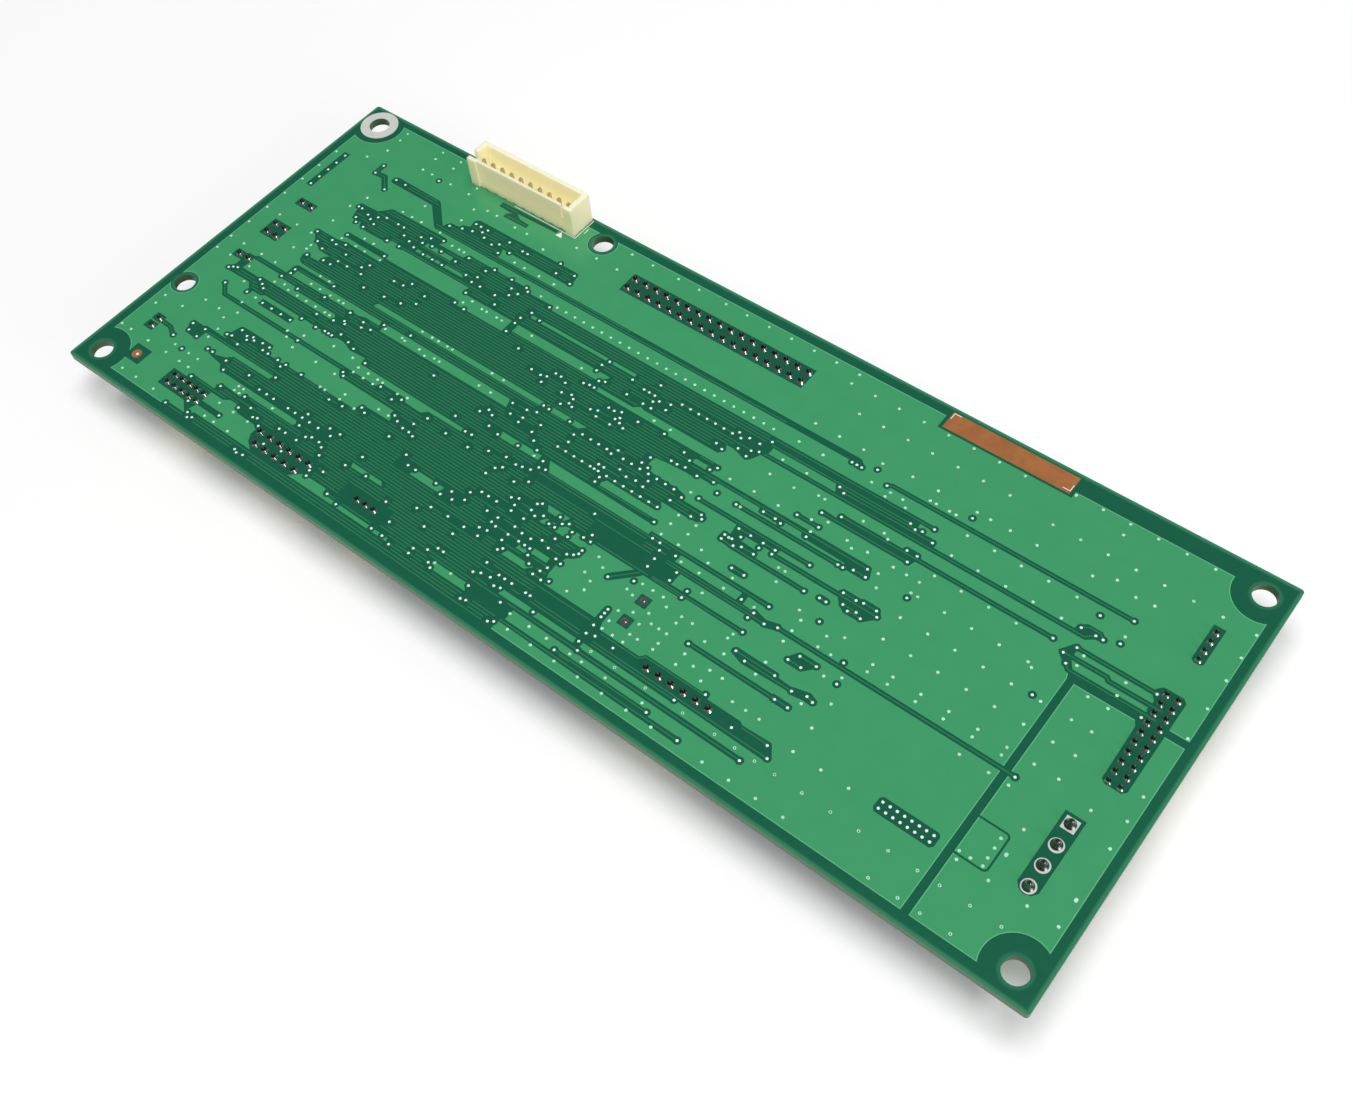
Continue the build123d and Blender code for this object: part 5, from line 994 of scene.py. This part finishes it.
MATERIALS = {
    "laminate": laminate_finish(),
    "pour": finish(
        "mask_on_pour", MASK_ON_COPPER, MASK_ON_COPPER_DEEP, roughness=0.35, grain_scale=260.0, bump=0.1,
        coat=0.4, shine=0.3),
    "trace": finish(
        "mask_on_trace", MASK_ON_TRACE, MASK_ON_TRACE_DEEP, roughness=0.35, grain_scale=400.0, coat=0.2,
        shine=0.2),
    "bare_copper": finish(
        "bare_copper", COPPER, COPPER_DEEP, roughness=0.45, grain_scale=420.0, bump=0.2, metallic=0.3),
    "solder": solder_finish(),
    # Copy of the solder painted darker, as a painted dark reflection, for the power joints
    "solder_painted_dark": finish("solder_painted_dark", DOME_PAINTED_DARK, DOME_PAINTED_DARK_DEEP, roughness=0.26, grain_scale=1500.0, metallic=1.0),
    "pour_edge": finish(
        "mask_at_pour_edge", MASK_AT_EDGE, MASK_AT_EDGE_DEEP, roughness=0.35, grain_scale=400.0, coat=0.2,
        shine=0.2),
    "tin": finish("dull_tin", TIN, TIN_DEEP, roughness=0.45, grain_scale=900.0, bump=0.2, metallic=0.15),
    # Tin of the bright vias, with its reflection of the light painted in as a near-white colour
    "bright_via": finish("tinned_via_and_sheen", VIA_TIN_AND_SHEEN, VIA_TIN_AND_SHEEN_DEEP, roughness=0.30, grain_scale=900.0),
    "pale_via": finish("masked_via", VIA_MASK, VIA_MASK_DEEP, roughness=0.35, grain_scale=150.0),
    "print": finish("white_print", PRINT, PRINT_DEEP, roughness=0.55, grain_scale=1600.0),
    "cream": cream_finish(),
    "grey": finish("grey_plastic", GREY, GREY_DEEP, roughness=0.45, grain_scale=700.0, bump=0.15),
    "black": finish("black_plastic", BLACK, BLACK_DEEP, roughness=0.42, grain_scale=900.0, bump=0.15),
    "can": finish("bare_can", CAN, CAN_DEEP, roughness=0.28, grain_scale=600.0, metallic=1.0),
    "ceramic": finish("capacitor_ceramic", CERAMIC, CERAMIC_DEEP, roughness=0.45, grain_scale=900.0),
    "pin": finish("tinned_pin", PIN, PIN_DEEP, roughness=0.35, grain_scale=1200.0, metallic=0.4),
}
SLOT_FINISH = {
    "laminate": "laminate", "masked_copper": "pour", "bare_copper": "bare_copper", "solder": "solder",
    "tinned_pin": "pin", "cream_plastic": "cream", "grey_plastic": "grey", "black_plastic": "black",
    "bare_can": "can", "capacitor_ceramic": "ceramic",
}
NODE_FINISH = {"tinned_mount_land": "tin"}


def dress_nodes():
    """Every solid takes the finish of its material slot, or its own where it has one."""
    slot_of = {entry["node"]: entry["material_slot"] for entry in frame["record"]["subparts"]}
    for name, node in frame["nodes"].items():
        for entry in node.material_slots:
            entry.material = MATERIALS[NODE_FINISH.get(name, SLOT_FINISH[slot_of[name]])]


# Copper under the mask
def rings_past_fields(fields):
    """Rings round the bright vias, apart from those that lie wholly in a cleared field."""
    kept = []
    for via in BRIGHT_VIAS:
        ring = ring_of(via, VIA_CLEARANCE, ROUND_STEPS)
        places = numpy.array(ring)
        buried = inside_any(places, fields) & ~inside_any(places, ISLANDS)
        if not buried.all():
            kept.append(ring)
    return kept


def all_traces():
    traces = ruled_traces()
    for half, points in SLOTS:
        traces += [strip_of(start, end, TRACE_HALF) for start, end in stretches(points)]
    traces += [strip_of(start, end, TRACE_HALF) for start, end in LONE_TRACES]
    return traces


def copper_skin():
    """The copper's top as corners, triangles and the kind of each triangle."""
    slots = [strip_of(start, end, half) for half, points in SLOTS for start, end in stretches(points)]
    slots += [ring_of(point, half, ROUND_STEPS) for half, points in SLOTS for point in points]
    slots += [strip_of(start, end, LOOP_HALF) for start, end in stretches(LOOP)]
    keep_outs = [ring_of(centre, radius, HOLE_STEPS) for centre, radius in KEEP_OUTS]
    fields = RULED_FIELDS + BARE_FIELDS
    rings = rings_past_fields(fields)
    traces = all_traces()
    inner_pour = grown(POUR, -POUR_EDGE)
    wide = [grown(MOAT, POUR_EDGE)]
    wide += [ring_of(centre, radius + POUR_EDGE, HOLE_STEPS) for centre, radius in KEEP_OUTS]
    corners = []
    edges = []
    for outline in (POUR, inner_pour, *wide, *fields, *ISLANDS, *slots, *rings, *keep_outs, *traces):
        first = len(corners)
        count = len(outline)
        corners += [Vector(place) for place in outline]
        edges += [(first + number, first + (number + 1) % count) for number in range(count)]
    result = delaunay_2d_cdt(corners, edges, [], 0, OUTLINE_GAP)
    places = numpy.array([(corner.x, corner.y) for corner in result[0]])
    triangles = numpy.array([list(face) for face in result[2]])
    centres = places[triangles].mean(axis=1)
    trace = inside_any(centres, traces)
    cleared = inside_any(centres, fields) & ~inside_any(centres, ISLANDS)
    cleared |= inside_any(centres, slots) | inside_any(centres, rings) | inside_any(centres, keep_outs)
    pour = inside(centres, POUR) & ~cleared
    edge = pour & (~inside(centres, inner_pour) | inside_any(centres, wide))
    copper = pour | trace
    kinds = numpy.where(edge, EDGE_KIND, numpy.where(pour, POUR_KIND, TRACE_KIND))
    return places, triangles[copper], kinds[copper]


def add_copper():
    """The copper as raised plateaus with walls down to the board."""
    places, triangles, kinds = copper_skin()
    used = sorted(set(triangles.ravel().tolist()))
    number_of = {old: new for new, old in enumerate(used)}
    count = len(used)
    top = [(places[old][0] * MM, places[old][1] * MM, COPPER_TOP) for old in used]
    low = [(x, y, SOLDER_FACE) for x, y, z in top]
    faces = []
    face_slots = []
    open_edges = {}
    for triangle, kind in zip(triangles.tolist(), kinds.tolist()):
        a, b, c = (number_of[old] for old in triangle)
        faces.append((a, b, c))
        face_slots.append(kind)
        for start, end in ((a, b), (b, c), (c, a)):
            if (end, start) in open_edges:
                del open_edges[(end, start)]
            else:
                open_edges[(start, end)] = kind
    for (start, end), kind in open_edges.items():
        faces.append((end, start, start + count, end + count))
        face_slots.append(kind)
    materials = [MATERIALS["pour"], MATERIALS["trace"], MATERIALS["pour_edge"]]
    piece = finished_piece("masked_copper", top + low, faces, materials, face_slots)
    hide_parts("solder_side_copper")


# Copies of one form, placed by geometry nodes
def copies_tree():
    tree = bpy.data.node_groups.new("place_copies", "GeometryNodeTree")
    inputs = {"Places": "Geometry", "Form": "Object", "Finish": "Material", "Turn": "Float", "Seed": "Int"}
    for name, kind in inputs.items():
        tree.interface.new_socket(name=name, in_out="INPUT", socket_type="NodeSocket" + kind)
    tree.interface.new_socket(name="Copies", in_out="OUTPUT", socket_type="NodeSocketGeometry")
    start = tree.nodes.new("NodeGroupInput")
    end = tree.nodes.new("NodeGroupOutput")
    form = tree.nodes.new("GeometryNodeObjectInfo")
    size = tree.nodes.new("GeometryNodeInputNamedAttribute")
    size.data_type = "FLOAT_VECTOR"
    size.inputs["Name"].default_value = "copy_size"
    chance = tree.nodes.new("FunctionNodeRandomValue")
    chance.data_type = "FLOAT"
    turn = tree.nodes.new("ShaderNodeCombineXYZ")
    place = tree.nodes.new("GeometryNodeInstanceOnPoints")
    real = tree.nodes.new("GeometryNodeRealizeInstances")
    paint = tree.nodes.new("GeometryNodeSetMaterial")
    joins = (
        (start.outputs["Form"], form.inputs["Object"]),
        (start.outputs["Turn"], chance.inputs[RANDOM_MOST]),
        (start.outputs["Seed"], chance.inputs["Seed"]),
        (chance.outputs[RANDOM_RESULT], turn.inputs["Z"]),
        (start.outputs["Places"], place.inputs["Points"]),
        (form.outputs["Geometry"], place.inputs["Instance"]),
        (turn.outputs["Vector"], place.inputs["Rotation"]),
        (size.outputs["Attribute"], place.inputs["Scale"]),
        (place.outputs["Instances"], real.inputs["Geometry"]),
        (real.outputs["Geometry"], paint.inputs["Geometry"]),
        (start.outputs["Finish"], paint.inputs["Material"]),
        (paint.outputs["Geometry"], end.inputs["Copies"]),
    )
    for source, target in joins:
        tree.links.new(source, target)
    return tree


COPIES = copies_tree()


def turned_form(name, profile, steps, downward=False):
    """A form of unit radius and height, turned from its profile of radius and height."""
    corners = []
    faces = []
    if downward:
        profile = [(radius, -height) for radius, height in profile]
    for radius, height in profile:
        corners += [(radius * x, radius * y, height) for x, y in ring_of((0.0, 0.0), 1.0, steps)]
    for level in range(len(profile) - 1):
        for number in range(steps):
            after = (number + 1) % steps
            low = level * steps
            faces.append((low + number, low + after, low + steps + after, low + steps + number))
    faces.append(tuple(range((len(profile) - 1) * steps, len(profile) * steps)))
    if downward:
        faces = [face[::-1] for face in faces]
    mesh = bpy.data.meshes.new(name)
    mesh.from_pydata(corners, [], faces)
    mesh.polygons.foreach_set("use_smooth", [True] * len(mesh.polygons))
    return link(name, mesh)


def copies(name, form, places, sizes, material, turn=0.0):
    """One plain mesh with a copy of the form at every place."""
    mesh = bpy.data.meshes.new(name + "_places")
    mesh.from_pydata(places, [], [])
    flat_sizes = [value for size in sizes for value in size]
    mesh.attributes.new("copy_size", "FLOAT_VECTOR", "POINT").data.foreach_set("vector", flat_sizes)
    carrier = link(name + "_places", mesh)
    modifier = carrier.modifiers.new("place_copies", "NODES")
    modifier.node_group = COPIES
    values = {"Form": form, "Finish": material, "Turn": turn, "Seed": COPIES_SEED}
    for socket in COPIES.interface.items_tree:
        if socket.in_out == "INPUT" and socket.name in values:
            modifier[socket.identifier] = values[socket.name]
    scene_state = bpy.context.evaluated_depsgraph_get()
    made = bpy.data.meshes.new_from_object(carrier.evaluated_get(scene_state))
    made.name = name
    piece = link(name, made)
    bpy.data.objects.remove(carrier)
    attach(piece, "root")
    return piece


def add_vias():
    via = turned_form("via_form", VIA_PROFILE, VIA_STEPS)
    open_via = turned_form("open_via_form", OPEN_VIA_PROFILE, VIA_STEPS)
    groups = (
        ("bright_vias", via, BRIGHT_VIAS, "bright_via", BRIGHT_VIA_RADIUS, BRIGHT_VIA_SINK),
        ("pale_vias", via, PALE_VIAS, "pale_via", VIA_RADIUS, VIA_SINK),
        ("open_vias", open_via, OPEN_VIAS, "pale_via", VIA_RADIUS, VIA_SINK),
    )
    for name, form, places, material, radius, sink in groups:
        points = [(along * MM, far * MM, COPPER_TOP - sink * MM) for along, far in places]
        size = (radius * MM, radius * MM, VIA_HEIGHT * MM)
        piece = copies(name, form, points, [size] * len(points), MATERIALS[material])
    bpy.data.objects.remove(via)
    bpy.data.objects.remove(open_via)


# Soldered pins
def loose_parts(node):
    """Corners of each separate solid in a node, in the order of the node's mesh."""
    shape = bmesh.new()
    shape.from_mesh(node.data)
    bmesh.ops.remove_doubles(shape, verts=shape.verts, dist=SAME_PLACE)
    waiting = set(shape.verts)
    parts = []
    for first in shape.verts:
        if first not in waiting:
            continue
        waiting.remove(first)
        group = [first]
        found = [first]
        while group:
            corner = group.pop()
            for edge in corner.link_edges:
                other = edge.other_vert(corner)
                if other in waiting:
                    waiting.remove(other)
                    group.append(other)
                    found.append(other)
        parts.append([node.matrix_world @ corner.co for corner in found])
    shape.free()
    return parts


def add_joints():
    """Smooth joints in place of the plain ones, each as wide and as high as its solid."""
    form = turned_form("joint_form", JOINT_PROFILE, JOINT_STEPS)
    low_form = turned_form("low_joint_form", JOINT_PROFILE, JOINT_STEPS, downward=True)
    for name in sorted(frame["nodes"]):
        if not name.endswith("_joints"):
            continue
        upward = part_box(name)[0][2] > SOLDER_FACE - JOINT_SINK * MM
        places = []
        sizes = []
        for corners in loose_parts(frame["nodes"][name]):
            low = [min(corner[axis] for corner in corners) for axis in range(3)]
            high = [max(corner[axis] for corner in corners) for axis in range(3)]
            radius = max(high[0] - low[0], high[1] - low[1]) / 2.0
            foot = low[2] if upward else high[2]
            places.append(((low[0] + high[0]) / 2.0, (low[1] + high[1]) / 2.0, foot))
            sizes.append((radius, radius, high[2] - low[2]))
        turned = form if upward else low_form
        material = MATERIALS["solder"]
        # The power joints take the solder painted darker as its dark reflection
        if name == "power_header_joints":
            material = MATERIALS["solder_painted_dark"]
            sizes = [(DOME_SHARE * across, DOME_SHARE * deep, tall) for across, deep, tall in sizes]
        solder = name.replace("_joints", "_solder")
        piece = copies(solder, turned, places, sizes, material, turn=JOINT_TURN)
        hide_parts(name)
    bpy.data.objects.remove(form)
    bpy.data.objects.remove(low_form)


# Moulded parts with soft edges
def soft_piece(name, shape, width):
    """A moulded part with its sharp edges rounded off, in place of its node."""
    bmesh.ops.remove_doubles(shape, verts=shape.verts, dist=SAME_PLACE)
    bmesh.ops.dissolve_limit(shape, angle_limit=FLAT_TURN, verts=shape.verts, edges=shape.edges)
    sharp = [edge for edge in shape.edges if edge.is_manifold and edge.calc_face_angle() > EDGE_TURN]
    bmesh.ops.bevel(
        shape, geom=sharp, offset=width, segments=EDGE_SEGMENTS, profile=EDGE_ROUNDNESS, affect="EDGES",
        clamp_overlap=True)
    mesh = bpy.data.meshes.new(name + "_soft")
    shape.to_mesh(mesh)
    shape.free()
    mesh.materials.append(frame["nodes"][name].material_slots[0].material)
    piece = link(name + "_soft", mesh)
    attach(piece, "root")
    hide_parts(name)


def carved_block(whole, cuts):
    """A block less its cuts, each given as its ranges along, across and up."""
    levels = [sorted({value for box in [whole] + cuts for value in box[axis]}) for axis in range(3)]
    counts = [len(level) - 1 for level in levels]
    solid = set()
    for cell in itertools.product(*(range(count) for count in counts)):
        centre = [(levels[axis][cell[axis]] + levels[axis][cell[axis] + 1]) / 2.0 for axis in range(3)]
        if not any(all(cut[axis][0] < centre[axis] < cut[axis][1] for axis in range(3)) for cut in cuts):
            solid.add(cell)
    turns = ((0, 0), (1, 0), (1, 1), (0, 1))
    shape = bmesh.new()
    for cell, axis, step in itertools.product(sorted(solid), range(3), (0, 1)):
        beside = list(cell)
        beside[axis] += 2 * step - 1
        if tuple(beside) in solid:
            continue
        corners = []
        for first_step, second_step in turns if step else turns[::-1]:
            place = list(cell)
            place[axis] += step
            place[(axis + 1) % 3] += first_step
            place[(axis + 2) % 3] += second_step
            corners.append(shape.verts.new([levels[index][place[index]] * MM for index in range(3)]))
        shape.faces.new(corners)
    return shape


def add_moulded():
    """The moulded parts again, with their sharp edges rounded off."""
    for name in sorted(frame["nodes"]):
        if name == SHROUD_NODE or not name.endswith(MOULDED):
            continue
        node = frame["nodes"][name]
        low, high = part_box(name)
        width = EDGE_SHARE * (high[2] - low[2]) / MM
        width = min(max(width, EDGE_LEAST), EDGE_MOST) * MM
        shape = bmesh.new()
        shape.from_mesh(node.data)
        shape.transform(node.matrix_world)
        soft_piece(name, shape, width)


def middle_of(corners, axis):
    """Mean place of the corners on one axis, in millimetres."""
    return sum(corner[axis] for corner in corners) / len(corners) / MM


def add_shroud():
    """The open shroud of the signal header: a lower near wall with a slit, taller far and end walls."""
    low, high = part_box(SHROUD_NODE)
    left, near, foot = (value / MM for value in low)
    right, far, top = (value / MM for value in high)
    inner = (left + SHROUD_END_WALL, right - SHROUD_END_WALL)
    panel = near + SHROUD_RELIEF
    cavity = near + SHROUD_NEAR_WALL
    low_top = foot + SHROUD_NEAR_HEIGHT
    slit = right - SHROUD_SLIT_INSET
    cuts = [
        (inner, (cavity, far - SHROUD_FAR_WALL), (foot + SHROUD_FLOOR, top)),
        ((left, right), (near, cavity), (low_top, top)),
        ((left + SHROUD_POST, right - SHROUD_POST), (near, panel), (foot, top)),
        ((slit, slit + SHROUD_SLIT_WIDTH), (near, cavity), (low_top - SHROUD_SLIT_DEPTH, top)),
        ((left, inner[0]), (cavity, cavity + SHROUD_NOTCH_WIDTH), (top - SHROUD_NOTCH_DEPTH, top)),
    ]
    parts = loose_parts(frame["nodes"][SHROUD_PINS])
    pins = sorted(middle_of(corners, 0) for corners in parts)
    row = middle_of(parts[-1], 1)
    half = SHROUD_PIN_HOLE / 2.0
    for pin in pins:
        cuts.append(((pin - half, pin + half), (row - half, row + half), (foot, foot + SHROUD_FLOOR)))
    for start, end in stretches(pins):
        middle = (start + end) / 2.0
        gap = (middle - SHROUD_FOOT_GAP / 2.0, middle + SHROUD_FOOT_GAP / 2.0)
        cuts.append((gap, (near, cavity), (foot, foot + SHROUD_FOOT_HEIGHT)))
    whole = ((left, right), (near, far), (foot, top))
    soft_piece(SHROUD_NODE, carved_block(whole, cuts), SHROUD_EDGE * MM)


# Print and lands
def flat_piece(name, outlines, base, height, material):
    """Thin flat shapes, each an outline raised by the given height."""
    corners = []
    faces = []
    for outline in outlines:
        first = len(corners)
        count = len(outline)
        corners += [(x * MM, y * MM, base) for x, y in outline]
        corners += [(x * MM, y * MM, base + height * MM) for x, y in outline]
        faces.append(tuple(range(first + count, first + 2 * count)))
        for number in range(count):
            after = (number + 1) % count
            faces.append((first + number, first + after, first + count + after, first + count + number))
    finished_piece(name, corners, faces, [MATERIALS[material]])


def add_print():
    marks = [upright(strip_of(start, end, PRINT_HALF)) for start, end in PRINT_LINES]
    marks.append(upright(PRINT_TRIANGLE))
    copper = (COPPER_TOP - SOLDER_FACE) / MM
    flat_piece("white_print", marks, SOLDER_FACE, copper + PRINT_HEIGHT, "print")
    # A bright dot painted on the target pad as its glint, in the near-white via finish
    dot = ring_of(TARGET_PLACE, TARGET_GLINT_RADIUS, ROUND_STEPS)
    flat_piece("target_dot", [dot], COPPER_TOP, PRINT_HEIGHT, "bright_via")


def add_power_lands():
    lands = [ring_of(place, LAND_RADIUS, HOLE_STEPS) for place in POWER_LANDS]
    x, y = POWER_SQUARE
    lands.append(box_of(x - SQUARE_HALF, x + SQUARE_HALF, y - SQUARE_HALF, y + SQUARE_HALF))
    flat_piece("power_lands", lands, SOLDER_FACE, LAND_HEIGHT, "tin")


# Studio
def add_camera():
    data = bpy.data.cameras.new("photo_camera")
    camera = link("photo_camera", data)
    data.sensor_fit = "HORIZONTAL"
    data.sensor_width = SENSOR_WIDTH
    data.lens = CAMERA_LENS
    data.clip_start = CAMERA_NEAREST
    turn = Matrix((Vector(CAMERA_RIGHT), -Vector(CAMERA_DOWN), -Vector(CAMERA_FORWARD))).transposed()
    camera.matrix_world = Matrix.Translation(CAMERA_PLACE) @ turn.to_4x4()
    bpy.context.scene.camera = camera


def add_floor():
    """Pale floor that keeps the soft shadow and goes white for the camera, more so further away."""
    half = FLOOR_SIZE / 2.0
    mesh = bpy.data.meshes.new("studio_floor")
    corners = [(x, y, 0.0) for x, y in box_of(-half, half, -half, half)]
    mesh.from_pydata(corners, [], [(0, 1, 2, 3)])
    material = finish("studio_floor", FLOOR_COLOUR, FLOOR_COLOUR, roughness=0.9, grain_scale=40.0)
    tree = material.node_tree
    path = tree.nodes.new("ShaderNodeLightPath")
    place = tree.nodes.new("ShaderNodeTexCoord")
    reach = tree.nodes.new("ShaderNodeVectorMath")
    reach.operation = "LENGTH"
    tree.links.new(place.outputs["Object"], reach.inputs[0])
    near = ramp_down(tree, reach.outputs["Value"], FLOOR_FAR, unit=1.0)
    change = math_node(tree, "MULTIPLY", near, FLOOR_LIFT - FLOOR_FAR_LIFT)
    level = math_node(tree, "ADD", change, FLOOR_FAR_LIFT)
    lift = math_node(tree, "MULTIPLY", path.outputs["Is Camera Ray"], level)
    shader = tree.nodes["Principled BSDF"]
    shader.inputs["Emission Color"].default_value = WHITE
    tree.links.new(lift, shader.inputs["Emission Strength"])
    mesh.materials.append(material)
    link("studio_floor", mesh)


def add_soft_box(name, place, size, power, mirrored):
    data = bpy.data.lights.new(name, "AREA")
    data.size = size
    data.energy = power
    lamp = link(name, data)
    lamp.location = place
    lamp.visible_glossy = mirrored
    lamp.rotation_euler = (-Vector(place)).to_track_quat("-Z", "Y").to_euler()


def add_light():
    """Weak light from all round, weaker in reflections, with a soft box above and a low one at the right."""
    world = bpy.data.worlds.new("studio")
    world.use_nodes = True
    bpy.context.scene.world = world
    tree = world.node_tree
    path = tree.nodes.new("ShaderNodeLightPath")
    mirrored = math_node(tree, "MULTIPLY", path.outputs["Is Glossy Ray"], REFLECTED_LEVEL - WORLD_LEVEL)
    seen = math_node(tree, "MULTIPLY", path.outputs["Is Camera Ray"], BACKDROP_LEVEL - WORLD_LEVEL)
    level = math_node(tree, "ADD", math_node(tree, "ADD", mirrored, seen), WORLD_LEVEL)
    background = tree.nodes["Background"]
    background.inputs["Color"].default_value = WHITE
    tree.links.new(level, background.inputs["Strength"])
    add_soft_box("soft_box", SOFT_BOX_PLACE, SOFT_BOX_SIZE, SOFT_BOX_POWER, mirrored=False)
    add_soft_box("side_box", SIDE_BOX_PLACE, SIDE_BOX_SIZE, SIDE_BOX_POWER, mirrored=True)


dress_nodes()
add_copper()
add_vias()
add_joints()
add_moulded()
add_shroud()
add_print()
add_power_lands()
add_camera()
add_floor()
add_light()
bpy.context.scene.view_settings.view_transform = "Standard"
